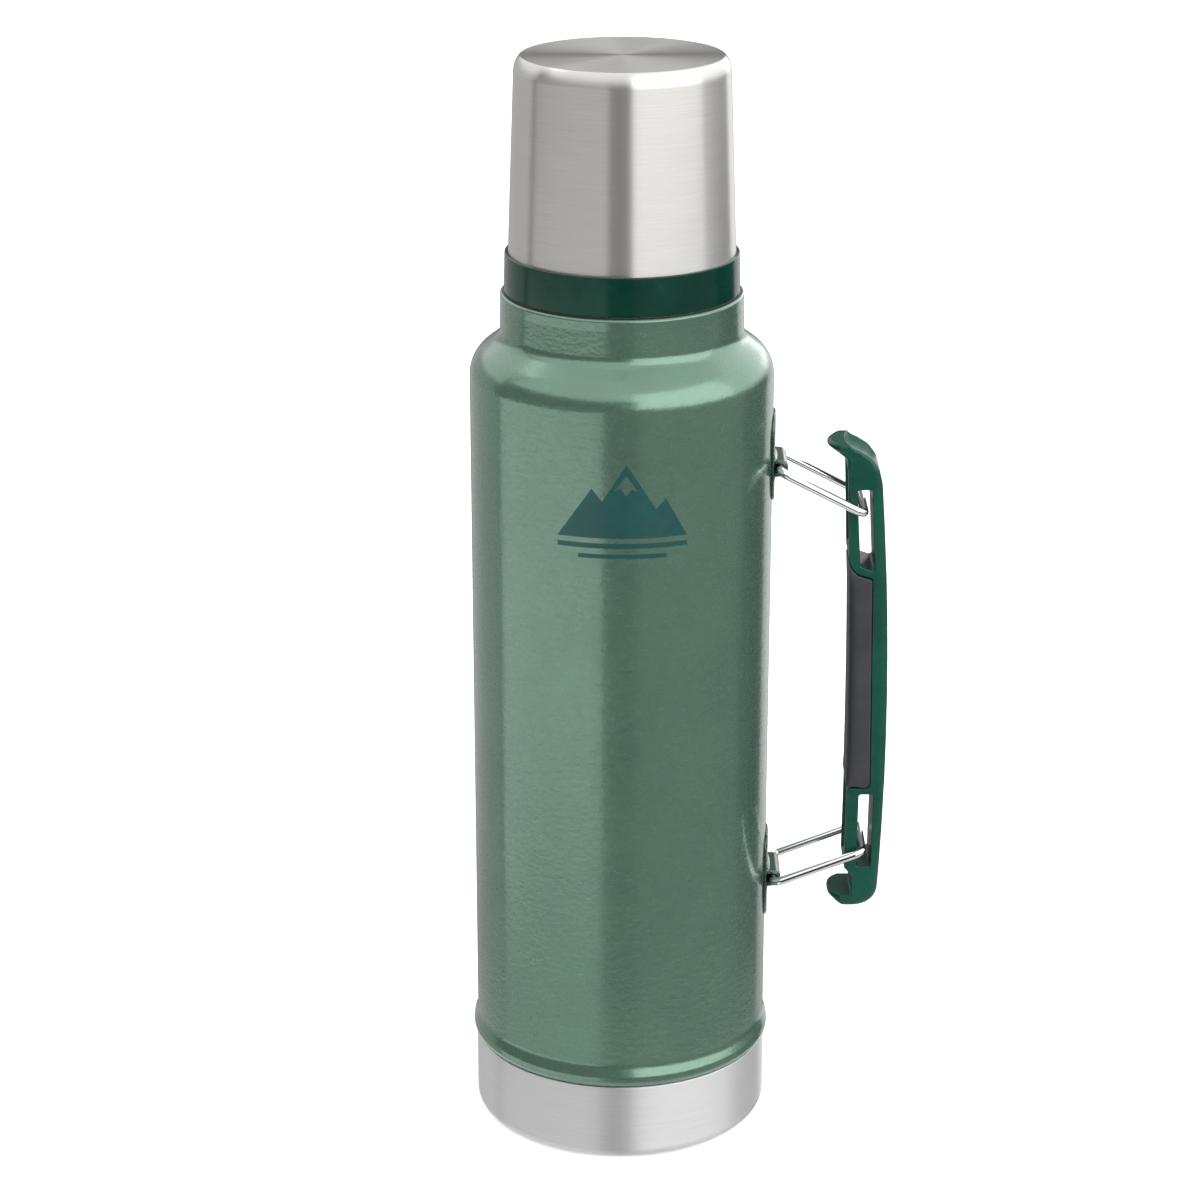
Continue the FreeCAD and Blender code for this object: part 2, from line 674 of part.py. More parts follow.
# corners of the handle's side view, (away from the axis, height)
HANDLE_OUTLINE = [
    (67.9, 239.9),
    (73.6, 236.0),
    (74.5, 233.0, "inner_curve", "right"),
    (75.65, 201.2),
    (78.4, 197.3),
    (83.75, 195.4),
    (84.85, 119.9),
    (76.95, 119.9, "inner_curve", "right"),
    (76.6, 90.4),
    (79.2, 87.4),
    (79.4, 80.0),
    (71.4, 80.0),
    (71.4, 78.6),
    (74.2, 75.9),
    (88.04, 75.9, "spine_curve", "left"),
    (86.2, 228.0, "crown_curve", "left"),
    (80.2, 239.1),
    (73.4, 241.7),
    (69.0, 241.8),
    (67.9, 241.0),
]

GRIP_OUTLINE = [
    (75.8, 200.6),
    (78.5, 196.75),
    (83.6, 194.9),
    (84.7, 120.1),
    (76.5, 120.1),
]

# centre line of each window, (away from the axis, height), lower end first
UPPER_WINDOW = [(81.95, 198.8), (80.30, 226.3)]
LOWER_WINDOW = [(83.25, 91.0), (83.57, 117.6)]


def cut_window(body, name, ends):
    """Slot through the handle's width with rounded corners."""
    (low_x, low_z), (high_x, high_z) = ends
    sketch = new_sketch(body, name + "_profile", "XZ_Plane")
    outline(sketch, [
        (f"{low_x} - window_half", f"{low_z}"),
        (f"{low_x} + window_half", f"{low_z}"),
        (f"{high_x} + window_half", f"{high_z}"),
        (f"{high_x} - window_half", f"{high_z}"),
    ])
    pocket_through(body, name, sketch, "handle_half * 4")
    corners = edges_where(body, lambda p, box: box.YLength > size("handle_half")
                          and abs(p.x - (low_x + high_x) / 2) < 4
                          and (abs(p.z - low_z) < 0.1 or abs(p.z - high_z) < 0.1))
    fillet(body, name + "_corners", corners, "window_end")


def trim_nose(body, name, tip, height):
    """Taper a nose towards its tip, seen from above."""
    for side, sign in (("right", ""), ("left", "0 - ")):
        sketch = new_sketch(body, f"{name}_{side}_profile", "XY_Plane", str(height))
        outline(sketch, [
            (f"{tip} - 1", f"{sign}( handle_half - 5 )"),
            (f"{tip} - 0.01", f"{sign}( handle_half - 5 )"),
            (f"{tip} + nose_depth * 0.3", f"{sign}( handle_half - 2 )"),
            (f"{tip} + nose_depth", f"{sign}( handle_half )"),
            (f"{tip} + nose_depth", f"{sign}( handle_half + 1 )"),
            (f"{tip} - 1", f"{sign}( handle_half + 1 )"),
        ])
        pocket_through(body, f"{name}_{side}", sketch, "7.6")


def make_handle():
    """Glossy handle frame with two bail windows, and its rubber grip."""
    frame = new_body("handle_frame")
    corners = [tuple(str(item) for item in corner) for corner in HANDLE_OUTLINE]
    pad(frame, "frame_pad", "XZ_Plane", corners, "handle_half * 2", midplane=True)
    cut_window(frame, "upper_window", UPPER_WINDOW)
    cut_window(frame, "lower_window", LOWER_WINDOW)
    fillet(frame, "heel",
           edges_where(frame, lambda p, box: box.YLength > 15
                       and abs(p.x - 88.04) + abs(p.z - 75.9) < 0.1), "heel_round")
    trim_nose(frame, "upper_nose", 67.9, 240.0)
    trim_nose(frame, "lower_nose", 71.4, 78.0)
    half = size("handle_half")
    fillet(frame, "spine_edges",
           edges_where(frame, lambda p, box: abs(abs(p.y) - half) < 0.01
                       and box.ZLength > 100 and p.x > 88), "spine_round")

    grip = new_body("grip_insert")
    corners = [tuple(str(item) for item in corner) for corner in GRIP_OUTLINE]
    pad(grip, "grip_pad", "XZ_Plane", corners, "grip_half * 2", midplane=True)
    fillet(grip, "grip_edges",
           edges_where(grip, lambda p, box: box.ZLength > 50 and p.x < 78), "grip_round")


# ---------------------------------------------------------------- build and write

make_outer_shell()
make_base_cup()
make_inner_liner()
make_jacket_closure()
make_mouth_collar()
make_cup()
make_stopper()
make_bracket("upper_bracket", "upper_plate_low", "upper_plate_high",
             "upper_pivot_x", "upper_pivot_z")
make_bracket("lower_bracket", "lower_plate_low", "lower_plate_high",
             "lower_pivot_x", "lower_pivot_z")
make_bail("upper_bail", "upper_pivot_x", "upper_pivot_z", "upper_cross_x", "upper_cross_z")
make_bail("lower_bail", "lower_pivot_x", "lower_pivot_z", "lower_cross_x", "lower_cross_z")
make_handle()
doc.recompute()

for item in doc.Objects:
    bad = [state for state in item.State if state in ("Invalid", "Error")]
    assert not bad, f"{item.Name}: {item.State}"
os.makedirs("parts", exist_ok=True)
for part in PARTS:
    shape = part.Shape
    assert not shape.isNull() and shape.isValid(), part.Label + " has no valid shape"
    assert len(shape.Solids) == 1, part.Label + " is not one solid"
    shape.exportStep(os.path.join("parts", part.Label + ".step"))
    print(part.Label, round(shape.Volume, 1))
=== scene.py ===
"""Looks of the vacuum flask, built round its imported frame.

The scene is in metres. Sizes in this script are in millimetres, and MM scales them.
"""
import json
import math

import bmesh
import bpy
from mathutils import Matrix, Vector
from mathutils.geometry import delaunay_2d_cdt


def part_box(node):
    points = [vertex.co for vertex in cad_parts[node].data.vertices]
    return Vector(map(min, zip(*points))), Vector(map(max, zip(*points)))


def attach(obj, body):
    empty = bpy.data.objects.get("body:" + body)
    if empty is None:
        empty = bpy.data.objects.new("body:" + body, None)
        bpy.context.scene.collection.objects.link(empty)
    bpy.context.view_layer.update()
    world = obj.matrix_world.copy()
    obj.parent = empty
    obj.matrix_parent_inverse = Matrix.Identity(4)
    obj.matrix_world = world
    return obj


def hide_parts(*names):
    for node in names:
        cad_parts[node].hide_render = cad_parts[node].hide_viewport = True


MM = 0.001
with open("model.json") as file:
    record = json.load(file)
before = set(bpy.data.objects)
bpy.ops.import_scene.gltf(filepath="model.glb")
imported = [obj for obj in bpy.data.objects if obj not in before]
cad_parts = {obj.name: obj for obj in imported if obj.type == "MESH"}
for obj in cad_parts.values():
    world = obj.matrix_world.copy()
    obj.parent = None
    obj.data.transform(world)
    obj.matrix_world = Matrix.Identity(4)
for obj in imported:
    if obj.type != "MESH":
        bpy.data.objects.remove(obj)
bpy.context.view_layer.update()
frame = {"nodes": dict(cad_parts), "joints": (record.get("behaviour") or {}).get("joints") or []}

# ------------------------------------------------------------------ sizes

GAP = 0.05              # left between neighbouring pieces

BODY_R = 50.0           # outside of the painted wall
SHELL_WALL = 1.0
SKIRT_R = 49.4          # skirt that enters the base cup
SKIRT_LOW = 8.0
BEAD_R = 51.32          # bead above the base cup
BEAD_LOW = 27.7
SHOULDER_Z = 269.9
NECK_R = 39.8
NECK_Z = 277.5          # foot of the neck
LAND_R = 34.3           # inner edge of the land that carries the cup
LAND_Z = 291.8

BASE_R = 50.3
BASE_WALL = 0.8
BASE_TOP = 27.2
STAMP_R = 32.0          # stamped round in the base cup's underside
STAMP_DEPTH = 0.5

LINER_R = 43.8
LINER_WALL = 0.8
LINER_LOW = 16.0
LINER_JOIN = 255.0      # weld between the liner and its neck
LINER_SHOULDER = 262.0
MOUTH_R = 31.8          # outside of the liner's neck
MOUTH_FOOT = 272.5
LIP_R = 34.2
LIP_Z = 308.8
COLLAR_R = 33.6

CUP_PITCH = 4.0
CUP_FOOT_R = 37.3
CUP_FOOT = 298.5
CUP_TOP = 368.6
CUP_WALL = 0.7
CROWN_R = 8.0           # rounding of the cup's closed end
CROWN_AT = (26.9, 363.2)
LINING_R = 36.26
LINING_TOP_R = 33.95
LINING_TOP = 367.8
LINING_WALL = 0.9
BAND_R = 38.5
BAND_BORE = 35.6
BAND_LOW = 292.4
BAND_TOP = 305.0

STOPPER_PITCH = 5.0
PLUG_R = 28.6
PLUG_BORE = 25.7
PLUG_LOW = 276.0
FLANGE_R = 32.8
FLANGE_LOW = 310.35
FLANGE_TOP = 313.6
GASKET_R = 32.4
KNOB_R = 27.0
KNOB_TOP = 327.0
RECESS_R = 20.5         # hollow in the knob's top
FLUTES = 8
FLUTE_DEPTH = 2.4

WIRE_R = 1.45
BAIL_HALF = 12.25
BAIL_BEND = 3.0

PLATE_IN = 50.03        # curved bracket plate
PLATE_OUT = 50.83
PLATE_HALF = 9.0
PLATE_CORNER = 6.0
TUNNEL_HALF = 8.0       # half of the tunnel's length
TUNNEL_FOOT = 50.3      # underside of the strap's feet, sunk into the plate

HANDLE_HALF = 9.5
GRIP_HALF = 10.0
WINDOW_HALF = 2.48
CHANNELS = ((91.4, 118.4, 1.2), (204.0, 232.4, 1.4))    # from, to, soft ends
CHANNEL_DEPTH = 1.5
REST_DEPTH = 2.5        # thumb rest
STRAIGHT_BOW = 2000.0   # bow radii of the handle's long sides
BACK_BOW = 1067.0
GRIP_BOW = 2500.0

PRINT_OUT = 50.045      # inked patch, lying on the wall
PRINT_IN = 49.98


# ------------------------------------------------------------------ mesh helpers

def new_object(name, vertices, faces, material, body, slot, replaced=(), smooth=True):
    """Piece from millimetre vertices, riding on a body of the frame."""
    mesh = bpy.data.meshes.new(name)
    mesh.from_pydata([Vector(v) * MM for v in vertices], [], faces)
    work = bmesh.new()
    work.from_mesh(mesh)
    bmesh.ops.remove_doubles(work, verts=work.verts, dist=1e-7)
    bmesh.ops.recalc_face_normals(work, faces=work.faces)
    work.to_mesh(mesh)
    work.free()
    mesh.polygons.foreach_set("use_smooth", [smooth] * len(mesh.polygons))
    piece = bpy.data.objects.new(name, mesh)
    bpy.context.scene.collection.objects.link(piece)
    mesh.materials.append(material)
    weighted = piece.modifiers.new("weighted", "WEIGHTED_NORMAL")
    weighted.keep_sharp = True
    weighted.weight = 60
    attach(piece, body)
    if replaced:
        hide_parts(*replaced)


def rounded(points, step=9.0, closed=True):
    """Polyline with its corners rounded.

    A point is (x, y), (x, y, radius) or (x, y, radius, extra); extra is handed on.
    """
    out = []
    count = len(points)
    for index, point in enumerate(points):
        corner = Vector(point[:2])
        radius = point[2] if len(point) > 2 else 0.0
        extra = tuple(point[3:])
        before = Vector(points[index - 1][:2]) - corner
        after = Vector(points[(index + 1) % count][:2]) - corner
        at_end = not closed and index in (0, count - 1)
        half = 0.0 if at_end else before.angle(after) / 2
        if radius <= 0 or at_end or half > math.radians(89.5):
            out.append((corner.x, corner.y) + extra)
            continue
        cut = radius / math.tan(half)
        limit = min(before.length, after.length) * 0.49
        if cut > limit:
            radius *= limit / cut
            cut = limit
        start = corner + before.normalized() * cut
        centre = corner + (before.normalized() + after.normalized()).normalized() \
            * radius / math.sin(half)
        first = start - centre
        last = corner + after.normalized() * cut - centre
        sweep = math.atan2(first.x * last.y - first.y * last.x, first.dot(last))
        steps = max(2, math.ceil(abs(math.degrees(sweep)) / step))
        for k in range(steps + 1):
            turn = sweep * k / steps
            out.append((centre.x + first.x * math.cos(turn) - first.y * math.sin(turn),
                        centre.y + first.x * math.sin(turn) + first.y * math.cos(turn))
                       + extra)
    return out


def split_long(points, longest):
    """Closed polyline with its long edges divided."""
    out = []
    for index, point in enumerate(points):
        following = points[(index + 1) % len(points)]
        out.append(point)
        gap = math.dist(point[:2], following[:2])
        parts = max(1, math.ceil(gap / longest))
        for k in range(1, parts):
            share = k / parts
            out.append(tuple(a + (b - a) * share for a, b in zip(point, following)))
    return out


def lathe_data(profile, count, shape):
    """Closed (radius, height) profile turned about Z; shape may move each point."""
    vertices = []
    rings = []
    for radius, height in profile:
        if radius < 1e-6:
            rings.append([len(vertices)])
            vertices.append((0.0, 0.0, height))
            continue
        ring = []
        for k in range(count):
            angle = 2 * math.pi * k / count
            r, z = shape(radius, height, angle) if shape else (radius, height)
            ring.append(len(vertices))
            vertices.append((r * math.cos(angle), r * math.sin(angle), z))
        rings.append(ring)
    faces = []
    for index, lower in enumerate(rings):
        upper = rings[(index + 1) % len(rings)]
        if len(lower) == 1 and len(upper) == 1:
            continue
        for k in range(count):
            after = (k + 1) % count
            if len(lower) == 1:
                faces.append((lower[0], upper[after], upper[k]))
            elif len(upper) == 1:
                faces.append((lower[k], lower[after], upper[0]))
            else:
                faces.append((lower[k], lower[after], upper[after], upper[k]))
    return vertices, faces


def walls(rows, size, ring=False):
    """Faces between rows of vertices, each a closed loop; ring joins the last to the first."""
    faces = []
    for row in range(rows if ring else rows - 1):
        low = row * size
        high = (row + 1) % rows * size
        for i in range(size):
            j = (i + 1) % size
            faces.append((low + i, low + j, high + j, high + i))
    return faces


def joined(*parts):
    """Several (vertices, faces) pairs as one."""
    vertices = []
    faces = []
    for some_vertices, some_faces in parts:
        base = len(vertices)
        vertices += list(some_vertices)
        faces += [tuple(base + i for i in face) for face in some_faces]
    return vertices, faces


def thread_data(root, crest, low, pitch, turns, width):
    """Helical ridge whose two ends fade into the wall; root is inside the wall."""
    per_turn = 96
    section = rounded([(0.0, -width), (1.0, -width * 0.42, 0.25), (1.0, width * 0.42, 0.25),
                       (0.0, width)], step=30, closed=False)
    steps = int(per_turn * turns)
    fade = per_turn / 6
    vertices = []
    for k in range(steps + 1):
        angle = 2 * math.pi * k / per_turn
        height = low + pitch * k / per_turn
        grow = min(1.0, k / fade, (steps - k) / fade)
        grow = max(0.04, grow * grow * (3 - 2 * grow))
        for across, up in section:
            radius = root + (crest - root) * across * grow
            vertices.append((radius * math.cos(angle), radius * math.sin(angle), height + up))
    size = len(section)
    faces = walls(steps + 1, size)
    faces.append(tuple(range(size)))
    faces.append(tuple(steps * size + i for i in range(size)))
    return vertices, faces


def turned(name, node, profile, material, body, slot, count=200, shape=None, thread=None):
    """Piece turned from a closed profile, with its thread, in place of a CAD node."""
    data = lathe_data(profile, count, shape)
    if thread:
        data = joined(data, thread_data(*thread))
    new_object(name, *data, material, body, slot, [node])


def smoothstep(low, high, value):
    """Smooth step from 0 to 1 between two values."""
    share = min(1.0, max(0.0, (value - low) / (high - low)))
    return share * share * (3 - 2 * share)


def inside(spot, polygon):
    """Whether a point lies in a polygon."""
    x, y = spot
    hit = False
    for index, (x1, y1) in enumerate(polygon):
        x2, y2 = polygon[index - 1]
        if (y1 > y) != (y2 > y) and x < (x2 - x1) * (y - y1) / (y2 - y1) + x1:
            hit = not hit
    return hit


def sides_of(face):
    """Directed edges of a face."""
    return [(face[k - 1], face[k]) for k in range(len(face))]


def kept_triangles(tris, rim):
    """Triangles on the material's side of the rim, whose directed edges have it on the left."""
    tris = [tuple(face) for face in tris]
    owner = {side: face for face in tris for side in sides_of(face)}
    waiting = [face for face in tris if any(side in rim for side in sides_of(face))]
    kept = set(waiting)
    while waiting:
        for side in sides_of(waiting.pop()):
            other = owner.get(side[::-1])
            if side not in rim and other is not None and other not in kept:
                kept.add(other)
                waiting.append(other)
    return [face for face in tris if face in kept]


def gap_to(spot, others):
    """Distance from a point to the nearest of some others."""
    return min(math.dist(spot, p) for p in others)


def wound(loop, way):
    """Closed loop running counter-clockwise for way 1 and clockwise for way -1."""
    area = sum(p[0] * q[1] - q[0] * p[1] for p, q in zip(loop, loop[1:] + loop[:1]))
    return loop if area * way > 0 else loop[::-1]


# ------------------------------------------------------------------ node helpers

class Nodes:
    """Short spelling for the node tree of a material or world."""

    def __init__(self, tree):
        self.tree = tree
        tree.nodes.clear()

    def add(self, kind, **settings):
        node = self.tree.nodes.new(kind)
        for key, value in settings.items():
            setattr(node, key, value)
        return node

    def link(self, source, target):
        self.tree.links.new(source, target)

    def feed(self, value, socket):
        if isinstance(value, bpy.types.NodeSocket):
            self.link(value, socket)
        else:
            socket.default_value = value

    def math(self, operation, a, b=0.0):
        node = self.add("ShaderNodeMath", operation=operation)
        self.feed(a, node.inputs[0])
        self.feed(b, node.inputs[1])
        return node.outputs[0]

    def ramp(self, value, low, high, out_low=0.0, out_high=1.0):
        node = self.add("ShaderNodeMapRange", interpolation_type="SMOOTHSTEP")
        self.feed(value, node.inputs["Value"])
        node.inputs["From Min"].default_value = low
        node.inputs["From Max"].default_value = high
        node.inputs["To Min"].default_value = out_low
        node.inputs["To Max"].default_value = out_high
        return node.outputs["Result"]

    def noise(self, vector, scale, detail=2.0, rough=0.5, distortion=0.0):
        node = self.add("ShaderNodeTexNoise")
        self.link(vector, node.inputs["Vector"])
        node.inputs["Scale"].default_value = scale
        node.inputs["Detail"].default_value = detail
        node.inputs["Roughness"].default_value = rough
        node.inputs["Distortion"].default_value = distortion
        return node.outputs["Fac"]

    def cells(self, vector, scale, smooth):
        node = self.add("ShaderNodeTexVoronoi", feature="SMOOTH_F1")
        self.link(vector, node.inputs["Vector"])
        node.inputs["Scale"].default_value = scale
        node.inputs["Smoothness"].default_value = smooth
        return node.outputs["Distance"]

    def mix(self, share, a, b):
        node = self.add("ShaderNodeMix", data_type="RGBA")
        self.feed(share, node.inputs["Factor"])
        for value, socket in ((a, node.inputs[6]), (b, node.inputs[7])):
            self.feed(value, socket)
        return node.outputs[2]

    def bump(self, height, strength, distance, normal=None):
        node = self.add("ShaderNodeBump")
        node.inputs["Strength"].default_value = strength
        node.inputs["Distance"].default_value = distance
        self.link(height, node.inputs["Height"])
        if normal is not None:
            self.link(normal, node.inputs["Normal"])
        return node.outputs["Normal"]


def shade(name, **values):
    """New material: its helper, its shader and the object coordinates."""
    material = bpy.data.materials.new(name)
    material.use_nodes = True
    nodes = Nodes(material.node_tree)
    shader = nodes.add("ShaderNodeBsdfPrincipled")
    output = nodes.add("ShaderNodeOutputMaterial")
    nodes.link(shader.outputs[0], output.inputs["Surface"])
    for key, value in values.items():
        shader.inputs[key.replace("_", " ")].default_value = value
    place = nodes.add("ShaderNodeTexCoord").outputs["Object"]
    return material, nodes, shader, place


def colour(r, g, b):
    """Linear colour from display values 0 to 255."""
    return tuple(((v / 255 + 0.055) / 1.055) ** 2.4 if v > 10 else v / 255 / 12.92
                 for v in (r, g, b)) + (1.0,)


def scaled(tint, share, lift=0.0):
    """Colour made darker or lighter, with full alpha."""
    return tuple(min(1.0, v * share + lift) for v in tint[:3]) + (1.0,)


# ------------------------------------------------------------------ materials

def hammertone(name, share=1.0):
    """Green hammer-effect enamel: fine ripples under gloss, with a soft metallic fleck.

    share darkens the enamel evenly; a share below 1 gives a darker copy of the enamel that
    paints shade.
    """
    material, nodes, shader, place = shade(
        name, Metallic=0.64, Coat_Weight=0.6, Coat_Roughness=0.05, Specular_IOR_Level=0.6)
    flattened = nodes.add("ShaderNodeMapping")
    flattened.inputs["Scale"].default_value = (1.0, 1.0, 2.0)
    nodes.link(place, flattened.inputs["Vector"])
    cells = nodes.cells(place, 900.0, 0.8)
    ripple = nodes.noise(flattened.outputs[0], 330.0, 2.0, 0.5, 0.3)
    patch = nodes.noise(place, 36.0, 3.0, 0.6)
    fleck = nodes.noise(place, 2600.0, 1.0, 0.5)
    base = [scaled(colour(85, 115, 99), share), scaled(colour(89, 120, 103), share)]
    tone = nodes.mix(nodes.ramp(patch, 0.3, 0.7), *base)
    tone = nodes.mix(nodes.ramp(cells, 0.2, 0.8, 0.0, 0.10), tone, colour(104, 138, 121))
    tone = nodes.mix(nodes.ramp(fleck, 0.6, 0.8, 0.0, 0.12), tone, colour(150, 176, 162))
    nodes.link(tone, shader.inputs["Base Color"])
    nodes.link(nodes.ramp(ripple, 0.3, 0.7, 0.22, 0.28), shader.inputs["Roughness"])
    normal = nodes.bump(cells, 1.0, 0.000012)
    normal = nodes.bump(ripple, 1.0, 0.000045, normal)
    nodes.link(normal, shader.inputs["Normal"])
    nodes.link(normal, shader.inputs["Coat Normal"])
    return material


def brushed(name, tint, rough=(0.28, 0.33), aniso=0.96):
    """Stainless steel brushed round the Z axis, on walls and on flat ends alike."""
    line = 5200.0
    along = 55.0
    material, nodes, shader, place = shade(name, Metallic=1.0, Anisotropic=aniso,
                                           Anisotropic_Rotation=0.25)
    parts = nodes.add("ShaderNodeSeparateXYZ")
    nodes.link(place, parts.inputs[0])
    x, y, z = parts.outputs
    radius = nodes.math("SQRT", nodes.math("ADD", nodes.math("MULTIPLY", x, x),
                                           nodes.math("MULTIPLY", y, y)))
    across = nodes.math("MULTIPLY", nodes.math("ADD", z, radius), line)
    streak = nodes.add("ShaderNodeCombineXYZ")
    nodes.link(nodes.math("MULTIPLY", x, along), streak.inputs[0])
    nodes.link(nodes.math("MULTIPLY", y, along), streak.inputs[1])
    nodes.link(across, streak.inputs[2])
    grain = nodes.noise(streak.outputs[0], 1.0, 3.0, 0.65)
    broad = nodes.noise(place, 28.0, 2.0, 0.5)
    tone = nodes.mix(nodes.ramp(grain, 0.25, 0.75), scaled(tint, 0.93), scaled(tint, 1.05))
    tone = nodes.mix(nodes.ramp(broad, 0.35, 0.75, 0.0, 0.18), tone, scaled(tint, 0.9))
    nodes.link(tone, shader.inputs["Base Color"])
    nodes.link(nodes.ramp(grain, 0.2, 0.8, rough[0], rough[1]), shader.inputs["Roughness"])
    nodes.link(nodes.bump(grain, 0.05, 0.00006), shader.inputs["Normal"])
    tangent = nodes.add("ShaderNodeTangent", direction_type="RADIAL", axis="Z")
    nodes.link(tangent.outputs[0], shader.inputs["Tangent"])
    return material


def polished(name, tint, rough=0.07):
    """Drawn stainless wire: bright, with faint draw lines and handling marks."""
    material, nodes, shader, place = shade(name, Metallic=1.0)
    marks = nodes.noise(place, 900.0, 4.0, 0.7)
    broad = nodes.noise(place, 120.0, 2.0, 0.5)
    tone = nodes.mix(nodes.ramp(broad, 0.3, 0.7), scaled(tint, 0.9), scaled(tint, 1.0))
    nodes.link(tone, shader.inputs["Base Color"])
    nodes.link(nodes.ramp(marks, 0.35, 0.8, rough, rough * 3), shader.inputs["Roughness"])
    nodes.link(nodes.bump(marks, 0.05, 0.0001), shader.inputs["Normal"])
    return material


def moulded(name, dark, light, rough=(0.18, 0.3), grain=1500.0, bump=0.04, **values):
    """Moulded plastic or rubber: slight mottling, fine grain and handling wear."""
    material, nodes, shader, place = shade(name, **values)
    broad = nodes.noise(place, 60.0, 3.0, 0.6)
    fine = nodes.noise(place, grain, 2.0, 0.6)
    scuff = nodes.noise(place, 340.0, 3.0, 0.6)
    tone = nodes.mix(nodes.ramp(broad, 0.3, 0.7), dark, light)
    tone = nodes.mix(nodes.ramp(scuff, 0.55, 0.9, 0.0, 0.10), tone, scaled(light, 2.0, 0.02))
    nodes.link(tone, shader.inputs["Base Color"])
    nodes.link(nodes.ramp(scuff, 0.3, 0.8, rough[0], rough[1]), shader.inputs["Roughness"])
    nodes.link(nodes.bump(fine, bump, 0.0001), shader.inputs["Normal"])
    return material


PAINT = hammertone("hammertone_green")
# darker copy of the body enamel: painted shade on the bracket plates and tunnels
SHADED_BRACKET_PAINT = hammertone("hammertone_green_painted_shade", 0.55)
CUP_STEEL = brushed("cup_steel_brushed", (0.64, 0.625, 0.60))
BASE_STEEL = brushed("base_steel_brushed", (0.70, 0.70, 0.70), rough=(0.40, 0.48), aniso=0.9)
LINER_STEEL = brushed("liner_steel_satin", (0.60, 0.60, 0.59), rough=(0.3, 0.42), aniso=0.5)
WIRE = polished("bail_wire_polished", (0.80, 0.80, 0.80))
GREEN_PLASTIC = moulded("green_plastic_gloss", colour(1, 38, 29), colour(4, 46, 36),
                        rough=(0.12, 0.2), Specular_IOR_Level=0.4)
HANDLE_PLASTIC = moulded("handle_green_gloss", colour(4, 58, 45), colour(7, 66, 52),
                         rough=(0.27, 0.35), bump=0.04, Specular_IOR_Level=0.3)
DARK_PLASTIC = moulded("stopper_dark_green", colour(10, 48, 38), colour(14, 58, 46),
                       rough=(0.35, 0.5), bump=0.08)
LINING_PLASTIC = moulded("lining_dark", colour(14, 46, 38), colour(18, 54, 44),
                         rough=(0.3, 0.45), bump=0.06)
RUBBER = moulded("grip_rubber", colour(38, 38, 42), colour(46, 46, 50),
                 rough=(0.5, 0.66), grain=2600.0, bump=0.18)
# black ring colour: painted shadow line in the gap between the neck's land and the cup band
SEAT_SHADOW_BLACK = moulded("seat_ring_painted_shadow", colour(22, 24, 24), colour(30, 32, 32),
                      rough=(0.5, 0.65), grain=2600.0, bump=0.12)
SILICONE = moulded("gasket_silicone", colour(170, 172, 168), colour(186, 188, 184),
                   rough=(0.4, 0.55), grain=2000.0, bump=0.06)
FOAM = moulded("core_foam", colour(222, 216, 198), colour(234, 229, 214),
               rough=(0.8, 0.95), grain=1400.0, bump=0.5)
GETTER = moulded("getter_sintered", colour(70, 70, 72), colour(92, 92, 94),
                 rough=(0.55, 0.75), grain=2600.0, bump=0.4, Metallic=0.8)
GLASS_BEAD = moulded("seal_glass_bead", colour(140, 160, 150), colour(160, 178, 168),
                     rough=(0.05, 0.14), bump=0.03, Coat_Weight=0.5)
FOIL = polished("copper_foil", (0.80, 0.52, 0.40), rough=0.16)
PRINT = moulded("emblem_ink", colour(0, 56, 54), colour(1, 64, 60),
                rough=(0.32, 0.42), bump=0.05)


# ------------------------------------------------------------------ turned pieces

def make_shell():
    """Painted wall from the skirt inside the base cup up to the land under the cup."""
    profile = rounded([
        (SKIRT_R - SHELL_WALL, SKIRT_LOW, 0.3), (SKIRT_R, SKIRT_LOW, 0.3),
        (SKIRT_R, BEAD_LOW, 0.2), (BASE_R, BEAD_LOW, 0.35), (BEAD_R, BEAD_LOW + 1.6, 1.6),
        (BEAD_R - 0.1, BEAD_LOW + 3.7, 3.0), (BODY_R, BEAD_LOW + 7.1, 6.0),
        (BODY_R, SHOULDER_Z, 12.0), (NECK_R + 0.2, NECK_Z, 5.0),
        (NECK_R - 0.05, LAND_Z - 3.8, 1.5), (NECK_R, LAND_Z, 0.9), (LAND_R, LAND_Z, 0.2),
        (LAND_R, LAND_Z - SHELL_WALL, 0.2), (NECK_R - 1.1, LAND_Z - SHELL_WALL, 0.6),
        (NECK_R - 0.8, NECK_Z - 0.5, 6.0), (BODY_R - SHELL_WALL, SHOULDER_Z - 0.5, 11.0),
        (BODY_R - SHELL_WALL, BEAD_LOW + 3.4), (SKIRT_R - SHELL_WALL, BEAD_LOW + 1.3)], step=6)
    turned("outer_shell_painted", "outer_shell", profile, PAINT, "flask", "hammertone_paint",
           256)


def make_base():
    """Bare steel base cup with a rolled upper edge and a stamped round underneath."""
    inner = BASE_R - BASE_WALL
    raised = BASE_WALL + STAMP_DEPTH
    profile = rounded([
        (0.0, STAMP_DEPTH), (STAMP_R - 1.0, STAMP_DEPTH, 0.5), (STAMP_R, 0.0, 0.6),
        (BASE_R, 0.0, 3.6), (BASE_R, BASE_TOP, 0.25), (inner, BASE_TOP, 0.25),
        (inner, BASE_WALL, 2.8), (STAMP_R + 0.4, BASE_WALL, 0.6), (STAMP_R - 0.6, raised, 0.6),
        (0.0, raised)], step=6)
    turned("base_cup_steel", "base_cup", profile, BASE_STEEL, "flask", "base_steel", 256)


